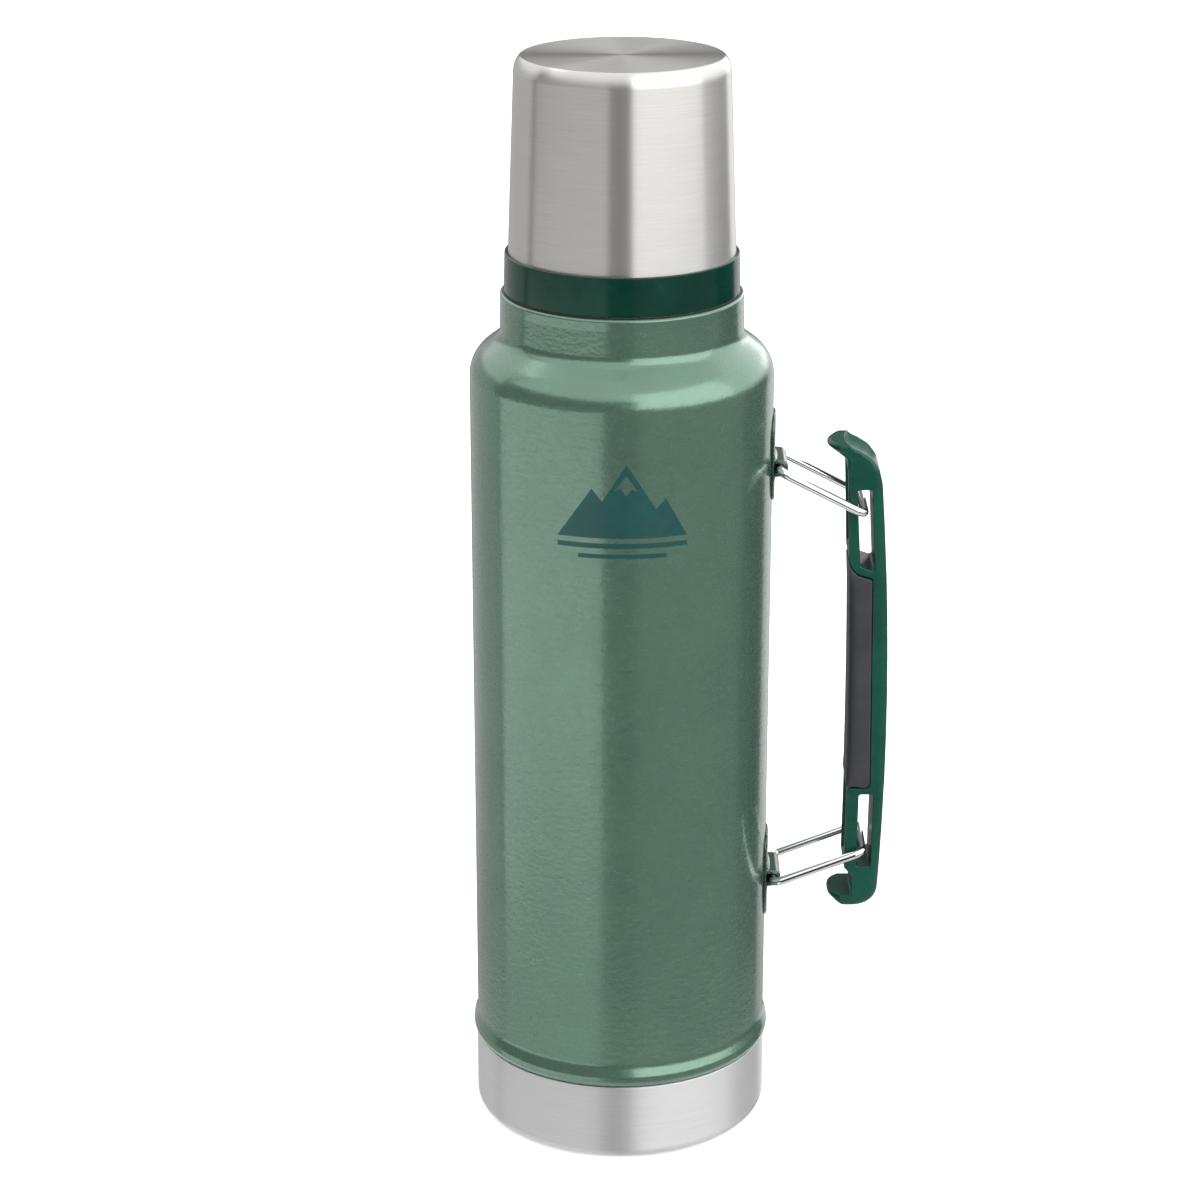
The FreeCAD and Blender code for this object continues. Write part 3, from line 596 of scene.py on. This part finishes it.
def make_liner():
    """Inner liner, and its neck with the rolled lip and the thread for the stopper."""
    inner = LINER_R - LINER_WALL
    bore = MOUTH_R - LINER_WALL
    liner = rounded([
        (0.0, LINER_LOW), (LINER_R, LINER_LOW, 4.0), (LINER_R, LINER_JOIN, 0.2),
        (inner, LINER_JOIN, 0.2), (inner, LINER_LOW + LINER_WALL, 3.2),
        (0.0, LINER_LOW + LINER_WALL)], step=7)
    turned("inner_liner_steel", "inner_liner", liner, LINER_STEEL, "flask", "liner_steel")
    neck = rounded([
        (inner, LINER_JOIN + GAP, 0.2), (LINER_R, LINER_JOIN + GAP, 0.2),
        (LINER_R, LINER_SHOULDER, 10.0), (MOUTH_R, MOUTH_FOOT, 4.0),
        (MOUTH_R, LIP_Z - LINER_WALL, 0.2), (LIP_R, LIP_Z - LINER_WALL, 0.35),
        (LIP_R, LIP_Z, 0.4), (bore, LIP_Z, 0.7), (bore, MOUTH_FOOT - 0.4, 4.5),
        (inner, LINER_SHOULDER - 0.4, 9.2)], step=7)
    turned("liner_neck_steel", "liner_neck", neck, LINER_STEEL, "flask", "liner_steel",
           thread=(bore + 0.3, bore - 1.0, LAND_Z + 2.2, STOPPER_PITCH, 2.0, 1.1))


def make_collar():
    """Threaded collar round the liner's neck, and the ring on the land, black as painted shadow
    under the cup band.
    """
    low = LAND_Z + GAP
    high = LIP_Z - LINER_WALL - GAP
    collar = rounded([(MOUTH_R + GAP, low, 0.2), (COLLAR_R, low, 0.2), (COLLAR_R, high, 0.3),
                      (MOUTH_R + GAP, high, 0.2)])
    turned("mouth_collar_threaded", "mouth_collar", collar, LINER_STEEL, "flask", "liner_steel",
           thread=(COLLAR_R - 0.2, COLLAR_R + 1.0, LAND_Z + 3.8, CUP_PITCH, 2.0, 0.95))
    top = BAND_LOW - GAP
    ring = rounded([(BAND_BORE, low, 0.12), (BAND_R - GAP, low, 0.12), (BAND_R - GAP, top, 0.2),
                    (BAND_BORE, top, 0.2)], step=20)
    # black ring: painted shadow under the cup band
    turned("seat_ring_shadow_line", "seat_ring", ring, SEAT_SHADOW_BLACK, "flask", "black_rubber")


def make_cup():
    """Steel drinking cup, its lining and the threaded band at its lower edge."""
    def crown(radius):
        turns = [math.radians(k) for k in range(2, 41, 4)]
        return [(CROWN_AT[0] + radius * math.cos(t), CROWN_AT[1] + radius * math.sin(t))
                for t in turns]

    inner_foot = CUP_FOOT_R - CUP_WALL
    shell = rounded([(inner_foot, CUP_FOOT, 0.2), (CUP_FOOT_R, CUP_FOOT, 0.2)]
                    + crown(CROWN_R)
                    + [(32.6, CUP_TOP, 0.6), (0.0, CUP_TOP - 0.15), (0.0, CUP_TOP - 0.75),
                       (32.1, CUP_TOP - CUP_WALL)]
                    + crown(CROWN_R - CUP_WALL)[::-1], step=5)
    turned("cup_shell_steel", "cup_shell", shell, CUP_STEEL, "cup", "cup_steel", 256)
    foot = BAND_TOP + 0.1
    under = LINING_TOP - LINING_WALL
    lining = rounded([
        (LINING_R - LINING_WALL, foot, 0.3), (LINING_R, foot, 0.3),
        (LINING_TOP_R, LINING_TOP, 6.2), (0.0, LINING_TOP), (0.0, under),
        (LINING_TOP_R - LINING_WALL, under, 5.4)], step=7)
    turned("cup_lining_moulded", "cup_liner", lining, LINING_PLASTIC, "cup", "lining_plastic")
    slot_low = CUP_FOOT - 0.1
    band = rounded([
        (BAND_BORE, BAND_LOW, 0.3), (BAND_R, BAND_LOW, 0.2), (BAND_R - 0.3, BAND_TOP, 0.35),
        (BAND_R - 1.3, BAND_TOP, 0.3), (CUP_FOOT_R + 0.1, slot_low, 0.2),
        (inner_foot - 0.1, slot_low, 0.2), (LINING_R, BAND_TOP, 0.2),
        (BAND_BORE, BAND_TOP, 0.2)], step=10)
    turned("cup_band_gloss", "cup_band", band, GREEN_PLASTIC, "cup", "green_plastic", 256,
           thread=(BAND_BORE + 0.2, BAND_BORE - 0.6, BAND_LOW + 2.2, CUP_PITCH, 2.0, 0.9))


def flute(radius, height, angle):
    """Finger flutes round the stopper's knob; its top stays flat."""
    if radius < 20.0:
        return radius, height
    depth = FLUTE_DEPTH * smoothstep(0.1, 1.0, math.cos(FLUTES * angle))
    return radius - depth * smoothstep(20.0, 25.0, radius), height


def make_stopper():
    """Screw stopper: threaded plug, gasket, flange, and fluted knob with a recessed top."""
    plug = rounded([
        (PLUG_BORE, PLUG_LOW, 0.3), (PLUG_R, PLUG_LOW, 0.8), (PLUG_R, FLANGE_LOW, 0.2),
        (PLUG_BORE, FLANGE_LOW, 0.2)], step=9)
    turned("stopper_plug_threaded", "stopper_body", plug, DARK_PLASTIC, "stopper",
           "stopper_plastic",
           thread=(PLUG_R - 0.2, PLUG_R + 1.0, PLUG_LOW + 15.5, STOPPER_PITCH, 2.0, 1.1))
    flange = rounded([
        (0.0, FLANGE_LOW + GAP), (FLANGE_R, FLANGE_LOW + GAP, 0.5),
        (FLANGE_R, FLANGE_TOP, 1.2), (0.0, FLANGE_TOP)], step=9)
    turned("stopper_flange_moulded", "stopper_flange", flange, DARK_PLASTIC, "stopper",
           "stopper_plastic")
    low = FLANGE_TOP + GAP
    knob = rounded([
        (0.0, low), (KNOB_R, low, 0.4), (KNOB_R, KNOB_TOP, 2.6), (RECESS_R, KNOB_TOP, 0.6),
        (RECESS_R - 0.7, KNOB_TOP - 1.0, 0.6), (0.0, KNOB_TOP - 1.0)], step=9)
    turned("stopper_knob_fluted", "stopper_cap", split_long(knob, 3.0), DARK_PLASTIC,
           "stopper", "stopper_plastic", 320, flute)
    low = LIP_Z + GAP
    high = FLANGE_LOW - GAP
    gasket = rounded([
        (PLUG_R + GAP, low, 0.3), (GASKET_R - 0.8, low, 0.3), (GASKET_R, low + 0.75, 0.4),
        (GASKET_R - 0.8, high, 0.3), (PLUG_R + GAP, high, 0.3)], step=15)
    turned("stopper_gasket_ring", "stopper_gasket", gasket, SILICONE, "stopper", "silicone")


# ------------------------------------------------------------------ wire bails

def tube_data(path, radius, sides=28):
    """Closed tube along a closed path of points."""
    count = len(path)
    points = [Vector(p) for p in path]
    plane = (points[count // 4] - points[0]).cross(points[count // 2] - points[0]).normalized()
    vertices = []
    for index, point in enumerate(points):
        along = (points[(index + 1) % count] - points[index - 1]).normalized()
        side = along.cross(plane).normalized()
        for k in range(sides):
            angle = 2 * math.pi * k / sides
            vertices.append(point + (side * math.cos(angle) + plane * math.sin(angle)) * radius)
    return vertices, walls(count, sides, ring=True)


def pivot_of(joint_name):
    """Where a hinge of the frame turns, in millimetres."""
    joint = next(j for j in frame["joints"] if j["name"] == joint_name)
    return Vector(joint["pos_m"]) / MM


def make_bail(node, joint_name, rising):
    """Wire loop between a bracket's tunnel and a window of the handle."""
    pivot = pivot_of(joint_name)
    low, high = (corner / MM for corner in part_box(node))
    cross_x = high.x - WIRE_R
    cross_z = high.z - WIRE_R if rising else low.z + WIRE_R
    reach = Vector((cross_x - pivot.x, 0, cross_z - pivot.z))
    length = reach.length
    along = reach.normalized()
    flat = split_long(rounded([
        (0.0, -BAIL_HALF, BAIL_BEND), (length, -BAIL_HALF, BAIL_BEND),
        (length, BAIL_HALF, BAIL_BEND), (0.0, BAIL_HALF, BAIL_BEND)], step=7), 1.6)
    path = [Vector((pivot.x, 0, pivot.z)) + along * u + Vector((0, v, 0)) for u, v in flat]
    vertices, faces = tube_data(path, WIRE_R)
    new_object(node + "_wire", vertices, faces, WIRE, node + "_body", "bail_chrome", [node])


# ------------------------------------------------------------------ brackets

def plate_data(outline, spacing=0.8):
    """Thin plate with a (y, z) outline, bent round the Z axis and softened at its corners."""
    corners = outline
    outline = split_long(outline, spacing)
    count = len(outline)
    ys = [p[0] for p in outline]
    zs = [p[1] for p in outline]
    points = [Vector(p) for p in outline]
    for i in range(1, int((max(ys) - min(ys)) / spacing)):
        for k in range(1, int((max(zs) - min(zs)) / spacing)):
            spot = (min(ys) + i * spacing, min(zs) + k * spacing)
            if inside(spot, outline) and gap_to(spot, outline) > spacing * 0.5:
                points.append(Vector(spot))
    edges = [(i, (i + 1) % count) for i in range(count)]
    flat, _, tris, _, _, _ = delaunay_2d_cdt(points, edges, [], 0, 1e-5)
    kept = kept_triangles(tris, set(edges))

    def bent(spot, radius):
        angle = spot.x / PLATE_OUT
        return (radius * math.cos(angle), radius * math.sin(angle), spot.y)

    def outer(spot):
        edge = 1.0 - smoothstep(0.0, 0.9, gap_to(spot, corners))
        return PLATE_OUT - 0.35 * edge

    vertices = [bent(p, outer(p)) for p in flat] + [bent(p, PLATE_IN) for p in flat]
    total = len(flat)
    faces = kept + [tuple(total + i for i in reversed(face)) for face in kept]
    faces += [(i, j, total + j, total + i) for i, j in edges]
    return vertices, faces


def strap_data(pivot, steps=24):
    """Tunnel over a bail's pivot bar: a bent strap, flared into the plate at both feet."""
    room = WIRE_R + 0.2
    roof = pivot.x + WIRE_R + 0.17
    top = pivot.x + WIRE_R + 1.1
    foot_top = TUNNEL_FOOT + 0.7
    above = [(top, 2.6, 2.4), (foot_top, 3.0, 1.0), (foot_top, 4.6, 0.5),
             (TUNNEL_FOOT, 5.2, 0.0), (TUNNEL_FOOT, room, 0.0), (roof, room, 1.5)]
    below = [(x, -z, radius) for x, z, radius in reversed(above)]
    strap = rounded(above + below, step=10)
    size = len(strap)
    vertices = []
    for k in range(steps + 1):
        y = TUNNEL_HALF * (2 * k / steps - 1)
        near_end = 1.0 - smoothstep(0.0, 0.09, 1.0 - abs(y) / TUNNEL_HALF)
        drop = PLATE_OUT - math.sqrt(PLATE_OUT ** 2 - y * y)
        for x, z in strap:
            foot = 1.0 - smoothstep(foot_top, foot_top + 2.0, x)
            outside = abs(z) > room + 0.1 or x > top - 0.5
            pull = 0.45 * near_end if outside else 0.0
            vertices.append((x - drop * foot - pull * (x - TUNNEL_FOOT) * 0.12, y,
                             pivot.z + z * (1.0 - pull * 0.06)))
    edges = [(i, (i + 1) % size) for i in range(size)]
    _, _, tris, _, _, _ = delaunay_2d_cdt([Vector(p) for p in strap], edges, [], 0, 1e-5)
    caps = [tuple(row * size + i for i in face)
            for row in (0, steps) for face in kept_triangles(tris, set(edges))]
    return vertices, walls(steps + 1, size) + caps


def make_bracket(node, joint_name):
    """Stamped plate, and the tunnel that holds the bail."""
    low, high = (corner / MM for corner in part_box(node))
    outline = rounded([
        (-PLATE_HALF, low.z, PLATE_CORNER), (PLATE_HALF, low.z, PLATE_CORNER),
        (PLATE_HALF, high.z, PLATE_CORNER), (-PLATE_HALF, high.z, PLATE_CORNER)], step=8)
    vertices, faces = joined(plate_data(outline), strap_data(pivot_of(joint_name)))
    # the darker enamel copy paints shade on the bracket
    new_object(node + "_stamped", vertices, faces, SHADED_BRACKET_PAINT, "flask", "bracket_paint",
               [node])


# ------------------------------------------------------------------ handle

# shares of a slab's half thickness, closer where the channels' sides are
HALF_ACROSS = (0, .11, .22, .33, .44, .54, .62, .68, .72, .75, .78, .82, .86, .9, .94, .97, 1)
ACROSS = [-k for k in HALF_ACROSS[:0:-1]] + list(HALF_ACROSS)


def slab_walls(outline, half, dent, soft_steps=6):
    """Vertices and faces of a slab's wall along one outline, row by row across it."""
    count = len(outline)
    layers = [(-1, k / soft_steps) for k in range(soft_steps)]
    layers += [(0, share) for share in ACROSS]
    layers += [(1, k / soft_steps) for k in range(soft_steps - 1, -1, -1)]
    vertices = []
    normals = []
    for i in range(count):
        along = (Vector(outline[(i + 1) % count][:2]) - Vector(outline[i - 1][:2])).normalized()
        normals.append(Vector((-along.y, along.x)))
    for side, share in layers:
        for (x, z, soft), normal in zip(outline, normals):
            if side:
                turn = math.pi / 2 * (1 - share)
                inset = soft * (1 - math.cos(turn))
                y = side * (half - soft + soft * math.sin(turn))
            else:
                y = (half - soft) * share
                inset = dent(x, z, y, normal) if dent else 0.0
            vertices.append((x + normal.x * inset, y, z + normal.y * inset))
    return vertices, walls(len(layers), count)


def slab_data(outlines, half, dent=None, spacing=1.1):
    """Thick plate across Y from (x, z, edge rounding) outlines; the first is the outer one.

    The outer outline runs counter-clockwise and holes clockwise, so the material is
    always on the left of the way round. dent(x, z, y, inward) gives how far a point
    of the outer surface sinks along its inward normal.
    """
    vertices = []
    faces = []
    flat_points = []        # place on the flat sides, and its vertices on both of them
    flat_edges = []
    loops = []
    for outline in outlines:
        count = len(outline)
        start = len(vertices)
        wall = slab_walls(outline, half, dent if outline is outlines[0] else None)
        vertices, faces = joined((vertices, faces), wall)
        last = len(vertices) - count
        base = len(flat_points)
        loops.append([(v[0], v[2]) for v in vertices[start:start + count]])
        flat_points += [(spot, start + i, last + i) for i, spot in enumerate(loops[-1])]
        flat_edges += [(base + i, base + (i + 1) % count) for i in range(count)]
    cell = 2.0
    near = {}
    for loop in loops:
        for p in loop:
            near.setdefault((int(p[0] // cell), int(p[1] // cell)), []).append(p)
    xs = [p[0] for p in loops[0]]
    zs = [p[1] for p in loops[0]]
    for i in range(int((max(xs) - min(xs)) / spacing) + 1):
        for k in range(int((max(zs) - min(zs)) / spacing) + 1):
            spot = (min(xs) + i * spacing, min(zs) + k * spacing)
            if not inside(spot, loops[0]) or any(inside(spot, hole) for hole in loops[1:]):
                continue
            column, row = int(spot[0] // cell), int(spot[1] // cell)
            close = [p for a in (-1, 0, 1) for b in (-1, 0, 1)
                     for p in near.get((column + a, row + b), [])]
            if close and gap_to(spot, close) < spacing * 0.6:
                continue
            flat_points.append((spot, len(vertices), len(vertices) + 1))
            vertices += [(spot[0], -half, spot[1]), (spot[0], half, spot[1])]
    _, _, tris, origins, _, _ = delaunay_2d_cdt(
        [Vector(p[0]) for p in flat_points], flat_edges, [], 0, 1e-6)
    for face in kept_triangles(tris, set(flat_edges)):
        ids = [origins[i][0] for i in face]
        faces.append(tuple(flat_points[i][1] for i in ids))
        faces.append(tuple(flat_points[i][2] for i in reversed(ids)))
    return vertices, faces


def eased(outline, share=0.85, slope=0.5):
    """Outline whose edge rounding fits inside its own corners and thin places."""
    count = len(outline)
    spots = [Vector(p[:2]) for p in outline]
    soft = []
    for i, spot in enumerate(spots):
        along = (spots[(i + 1) % count] - spots[i - 1]).normalized()
        inward = Vector((-along.y, along.x))
        room = outline[i][2]
        for other in spots:
            gap = other - spot
            depth = gap.dot(inward)
            if depth > 1e-4:
                room = min(room, share * gap.length_squared / (2 * depth))
        soft.append(room)
    for order in (range(2 * count), range(2 * count, 0, -1)):
        back = -1 if order.step > 0 else 1
        for k in order:
            i = k % count
            j = (i + back) % count
            soft[i] = min(soft[i], soft[j] + slope * (spots[i] - spots[j]).length)
    return [(p[0], p[1], value) for p, value in zip(outline, soft)]


def outline_of(corners, longest=1.1, step=8.0):
    """Dense (x, z, soft) outline from corners (x, z, radius, soft)."""
    return eased(split_long(rounded(corners, step), longest))


def bowed(start, end, radius, count, soft):
    """Corners on an arc between two points; a positive radius bulges to the right."""
    a = Vector(start)
    b = Vector(end)
    chord = b - a
    sagitta = abs(radius) - math.sqrt(radius * radius - chord.length_squared / 4)
    side = Vector((chord.y, -chord.x)).normalized() * math.copysign(sagitta, radius)
    shares = [k / count for k in range(1, count)]
    return [(*(a.lerp(b, t) + side * 4 * t * (1 - t)), 60.0, soft) for t in shares]


def handle_dent(x, z, y, inward):
    """Channels along the inner bars, and the hollow thumb rest on the upper hook."""
    sunk = 0.0
    if inward.x > 0.9:
        bars = sum(smoothstep(low, low + soft, z) * (1 - smoothstep(high - soft, high, z))
                   for low, high, soft in CHANNELS)
        sunk = CHANNEL_DEPTH * bars * (1 - smoothstep(6.1, 6.8, abs(y)))
    elif inward.y < 0:
        rest = smoothstep(73.5, 75.4, x) * smoothstep(229.5, 235.5, z) \
            * smoothstep(0.10, 0.5, -inward.y)
        sunk = REST_DEPTH * rest * max(0.0, 1 - (abs(y) / 7.8) ** 2.6)
    return sunk


def handle_warp(vertices):
    """Tapers both noses towards their tips, seen from above."""
    out = []
    for x, y, z in vertices:
        across = abs(y) / HANDLE_HALF
        upper = smoothstep(233.0, 237.0, z) * max(0.0, 1 - (x - 67.9) / 9)
        lower = (1 - smoothstep(80.6, 82.6, z)) * max(0.0, 1 - (x - 71.4) / 8)
        out.append((x + 3.9 * across ** 2.2 * min(1.0, upper)
                    + 4.4 * across ** 3.0 * min(1.0, lower), y, z))
    return out


def make_handle():
    """Glossy handle with two hooks and two windows, and its rubber grip."""
    corners = [(67.95, 240.0, 0.8, 1.6), (73.7, 236.1, 2.6, 1.6), (74.55, 233.0, 1.5, 0.7)]
    corners += bowed((74.55, 233.0), (75.7, 202.0), -STRAIGHT_BOW, 3, 0.7)
    corners += [(75.7, 202.0, 2.5, 0.7), (76.6, 199.0, 2.5, 0.5), (78.6, 197.0, 2.0, 0.45),
                (83.75, 195.4, 0.8, 0.4)]
    corners += [(84.85, 119.9, 2.4, 0.4), (76.95, 119.9, 1.0, 0.6)]
    corners += bowed((76.95, 119.9), (76.65, 90.4), -STRAIGHT_BOW, 3, 0.7)
    corners += [
        (76.65, 90.4, 1.2, 0.7), (79.2, 87.4, 1.2, 0.7), (79.4, 80.0, 0.4, 0.35),
        (71.45, 80.0, 0.35, 0.35), (71.45, 78.6, 1.2, 1.2), (74.0, 76.0, 3.4, 2.4),
        (88.04, 76.0, 9.5, 2.6)]
    corners += bowed((88.1, 77.0), (86.25, 228.0), BACK_BOW, 10, 2.6)
    corners += [
        (86.25, 228.0, 8.0, 2.4), (84.85, 233.9, 6.0, 1.7), (82.1, 237.4, 6.0, 1.2),
        (78.3, 239.7, 8.0, 0.9), (73.7, 241.65, 0.7, 0.9), (69.4, 241.7, 1.6, 1.1),
        (67.95, 240.9, 0.9, 1.1)]
    frame_outline = outline_of(corners)

    def window(low_x, low_z, high_x, high_z, drop):
        return outline_of([
            (low_x - WINDOW_HALF, low_z + drop, 0.9, 0.5),
            (high_x - WINDOW_HALF, high_z, 0.9, 0.5), (high_x + WINDOW_HALF, high_z, 0.9, 0.5),
            (low_x + WINDOW_HALF, low_z - drop, 0.9, 0.5)])

    upper = window(81.95, 198.8, 80.30, 226.3, 0.9)
    lower = window(83.25, 91.0, 83.57, 117.6, 0.0)
    vertices, faces = slab_data([frame_outline, upper, lower], HANDLE_HALF, handle_dent)
    new_object("handle_frame_moulded", handle_warp(vertices), faces, HANDLE_PLASTIC,
               "handle", "handle_plastic", ["handle_frame"])
    grip = [(75.85, 200.3, 0.6, 0.6)]
    grip += bowed((75.85, 200.3), (76.6, 120.25), -GRIP_BOW, 8, 4.6)
    grip += [(76.6, 120.25, 1.0, 2.4), (84.68, 120.25, 2.2, 0.5), (83.55, 195.0, 0.6, 0.5),
             (78.65, 196.6, 1.8, 0.5), (76.75, 198.6, 2.2, 0.5)]
    vertices, faces = slab_data([outline_of(grip)], GRIP_HALF)
    new_object("grip_insert_rubber", vertices, faces, RUBBER, "handle", "grip_rubber",
               ["grip_insert"])


# ------------------------------------------------------------------ emblem

def make_emblem():
    """Plain mountain drawing printed on the front of the shell, without lettering."""
    shapes = [
        [(-21.0, 223.0), (-9.6, 239.4), (-6.2, 235.2), (1.6, 247.4), (11.2, 232.4),
         (14.2, 236.0), (21.6, 223.0)],
        [(-21.0, 219.6), (-21.0, 221.2), (21.6, 221.2), (21.6, 219.6)],
        [(-14.0, 216.2), (-14.0, 217.6), (14.6, 217.6), (14.6, 216.2)],
    ]
    snow = [(-2.6, 238.6), (1.6, 244.0), (5.4, 238.2), (3.4, 239.4), (1.4, 237.0), (-0.4, 239.6)]
    longest = 0.7
    parts = []
    for outline in shapes:
        holes = [split_long(snow, longest)] if outline is shapes[0] else []
        parts.append(print_data(split_long(outline, longest), holes))
    vertices, faces = joined(*parts)
    new_object("emblem_print", vertices, faces, PRINT, "flask", "green_plastic", smooth=False)


def print_data(outline, holes):
    """Very thin inked patch on the shell's front; corners are (sideways, height)."""
    loops = [wound(outline, 1)] + [wound(hole, -1) for hole in holes]
    points = []
    edges = []
    for loop in loops:
        base = len(points)
        points += [Vector(p) for p in loop]
        edges += [(base + i, base + (i + 1) % len(loop)) for i in range(len(loop))]
    xs = [p.x for p in points]
    zs = [p.y for p in points]
    spacing = 0.9
    for i in range(int((max(xs) - min(xs)) / spacing)):
        for k in range(int((max(zs) - min(zs)) / spacing)):
            spot = (min(xs) + (i + 0.5) * spacing, min(zs) + (k + 0.5) * spacing)
            if inside(spot, outline) and not any(inside(spot, h) for h in holes) \
                    and min(gap_to(spot, loop) for loop in loops) > spacing / 2:
                points.append(Vector(spot))
    flat, _, tris, _, _, _ = delaunay_2d_cdt(points, edges, [], 0, 1e-6)
    kept = kept_triangles(tris, set(edges))
    vertices = []
    for radius in (PRINT_OUT, PRINT_IN):
        for p in flat:
            angle = p.x / BODY_R - math.pi / 2
            vertices.append((radius * math.cos(angle), radius * math.sin(angle), p.y))
    total = len(flat)
    faces = kept + [tuple(total + i for i in reversed(face)) for face in kept]
    sides = {side for face in kept for side in sides_of(face)}
    for a, b in sorted(side for side in sides if side[::-1] not in sides):
        faces.append((b, a, total + a, total + b))
    return vertices, faces


# ------------------------------------------------------------------ stage

def make_world():
    """Studio light as broad soft panels, given by their direction from the flask."""
    world = bpy.data.worlds.new("studio")
    bpy.context.scene.world = world
    world.use_nodes = True
    nodes = Nodes(world.node_tree)
    direction = nodes.add("ShaderNodeTexCoord").outputs["Generated"]
    parts = nodes.add("ShaderNodeSeparateXYZ")
    nodes.link(direction, parts.inputs[0])
    x, y, z = parts.outputs
    turn = nodes.math("MULTIPLY", nodes.math("ARCTAN2", x, nodes.math("MULTIPLY", y, -1.0)),
                      180 / math.pi)
    rise = nodes.math("MULTIPLY", nodes.math("ARCSINE", z), 180 / math.pi)

    def panel(level, left, right, low, high, soft, soft_rise):
        """Brightness of a panel between two bearings and two elevations."""
        for side in (nodes.ramp(turn, left - soft, left + soft),
                     nodes.ramp(turn, right - soft, right + soft, 1.0, 0.0),
                     nodes.ramp(rise, low - soft_rise, low + soft_rise),
                     nodes.ramp(rise, high - soft_rise, high + soft_rise, 1.0, 0.0)):
            level = nodes.math("MULTIPLY", side, level)
        return level

    total = AMBIENT
    for values in PANELS:
        total = nodes.math("ADD", total, panel(*values))
    seen = nodes.add("ShaderNodeLightPath").outputs["Is Camera Ray"]
    level = nodes.add("ShaderNodeMix", data_type="FLOAT")
    nodes.link(seen, level.inputs["Factor"])
    nodes.link(total, level.inputs[2])
    level.inputs[3].default_value = 1.0
    background = nodes.add("ShaderNodeBackground")
    background.inputs["Color"].default_value = (1.0, 1.0, 1.0, 1.0)
    nodes.link(level.outputs[0], background.inputs["Strength"])
    output = nodes.add("ShaderNodeOutputWorld")
    nodes.link(background.outputs[0], output.inputs["Surface"])


AMBIENT = 0.05
# brightness, bearing from-to (0 is the front, + is the handle's side), elevation from-to,
# softness of the sides and of the ends
PANELS = [
    (1.36, -104, -14, -25, -12.6, 2.5, 2.0),
    (0.07, -104, -14, -9, 26, 3.0, 4.0),
    (1.40, -100, 10, 24, 46, 4.0, 4.0),
    (0.17, 12, 104, -25, -3, 2.0, 3.0),
    (2.90, 10, 92, -1, 46, 2.0, 4.0),
    (1.75, 92, 164, 0, 46, 4.0, 5.0),
    (1.20, -168, -104, 10, 54, 4.0, 5.0),
    (1.02, -181, -15, -90, -28, 7.0, 3.0),
    (0.70, 12, 181, -90, -28, 6.0, 3.0),
    (0.66, -15, 12, -90, -28, 6.0, 3.0),
    (1.35, -181, 181, 46, 90, 1.0, 5.0),
    (0.48, -164, -108, -26, 8, 5.0, 4.0),
    (0.85, 141, 166, -26, 12, 4.0, 4.0),
    (0.22, -181, -162, -26, 50, 4.0, 4.0),
    (0.22, 164, 181, -26, 50, 4.0, 4.0),
]


def make_stage():
    """Pale floor; the flask stands on it."""
    material, nodes, shader, place = shade("floor_pale", Roughness=0.9,
                                           Specular_IOR_Level=0.1)
    mottled = nodes.noise(place, 3.0, 2.0, 0.5)
    nodes.link(nodes.mix(mottled, (0.92, 0.92, 0.92, 1), (0.93, 0.93, 0.93, 1)),
               shader.inputs["Base Color"])
    shader.inputs["Emission Color"].default_value = (1.0, 1.0, 1.0, 1.0)
    shader.inputs["Emission Strength"].default_value = 0.25
    size = 12.0
    level = -0.0002
    mesh = bpy.data.meshes.new("floor")
    mesh.from_pydata([(-size, -size, level), (size, -size, level), (size, size, level),
                      (-size, size, level)], [], [(0, 1, 2, 3)])
    mesh.materials.append(material)
    floor = bpy.data.objects.new("floor", mesh)
    bpy.context.scene.collection.objects.link(floor)
    floor.visible_glossy = False


def make_light(name, location, target, size, power):
    """Soft square lamp aimed at a point, which no surface mirrors."""
    lamp = bpy.data.lights.new(name, "AREA")
    lamp.shape = "SQUARE"
    lamp.size = size
    lamp.energy = power
    item = bpy.data.objects.new(name, lamp)
    bpy.context.scene.collection.objects.link(item)
    item.location = location
    item.rotation_euler = (Vector(target) - Vector(location)).to_track_quat("-Z", "Y") \
        .to_euler()
    item.visible_glossy = False


CAMERA_AT = (0.0, -1.03365, 0.55247)
CAMERA_PITCH = 19.594
CAMERA_YAW = -0.397
CAMERA_LENS = 97.79


def make_camera():
    """Camera in front of the flask, a little above it."""
    data = bpy.data.cameras.new("camera")
    data.lens = CAMERA_LENS
    data.sensor_width = 36.0
    data.clip_start = 0.05
    data.clip_end = 100.0
    camera = bpy.data.objects.new("camera", data)
    bpy.context.scene.collection.objects.link(camera)
    pitch = math.radians(CAMERA_PITCH)
    yaw = math.radians(CAMERA_YAW)
    ahead = Vector((math.sin(yaw) * math.cos(pitch), math.cos(yaw) * math.cos(pitch),
                    -math.sin(pitch)))
    camera.location = CAMERA_AT
    camera.rotation_euler = ahead.to_track_quat("-Z", "Y").to_euler()
    bpy.context.scene.camera = camera


# ------------------------------------------------------------------ build

make_shell()
make_base()
make_liner()
make_collar()
make_cup()
make_stopper()
make_bail("upper_bail", "upper_bail_swing", rising=False)
make_bail("lower_bail", "lower_bail_swing", rising=True)
make_bracket("upper_bracket", "upper_bail_swing")
make_bracket("lower_bracket", "lower_bail_swing")
make_handle()
make_emblem()

for node, material in (("vacuum_base", LINER_STEEL), ("getter", GETTER),
                       ("evacuation_seal", GLASS_BEAD), ("radiation_foil", FOIL),
                       ("stopper_base", DARK_PLASTIC), ("stopper_core", FOAM)):
    carried = frame["nodes"][node]
    carried.data.materials.clear()
    carried.data.materials.append(material)

make_world()
make_stage()
make_light("key_soft", (-0.9, -1.2, 1.6), (0, 0, 0.18), 0.9, 9.0)
make_camera()
scene = bpy.context.scene
scene.view_settings.view_transform = "Standard"
scene.view_settings.look = "None"
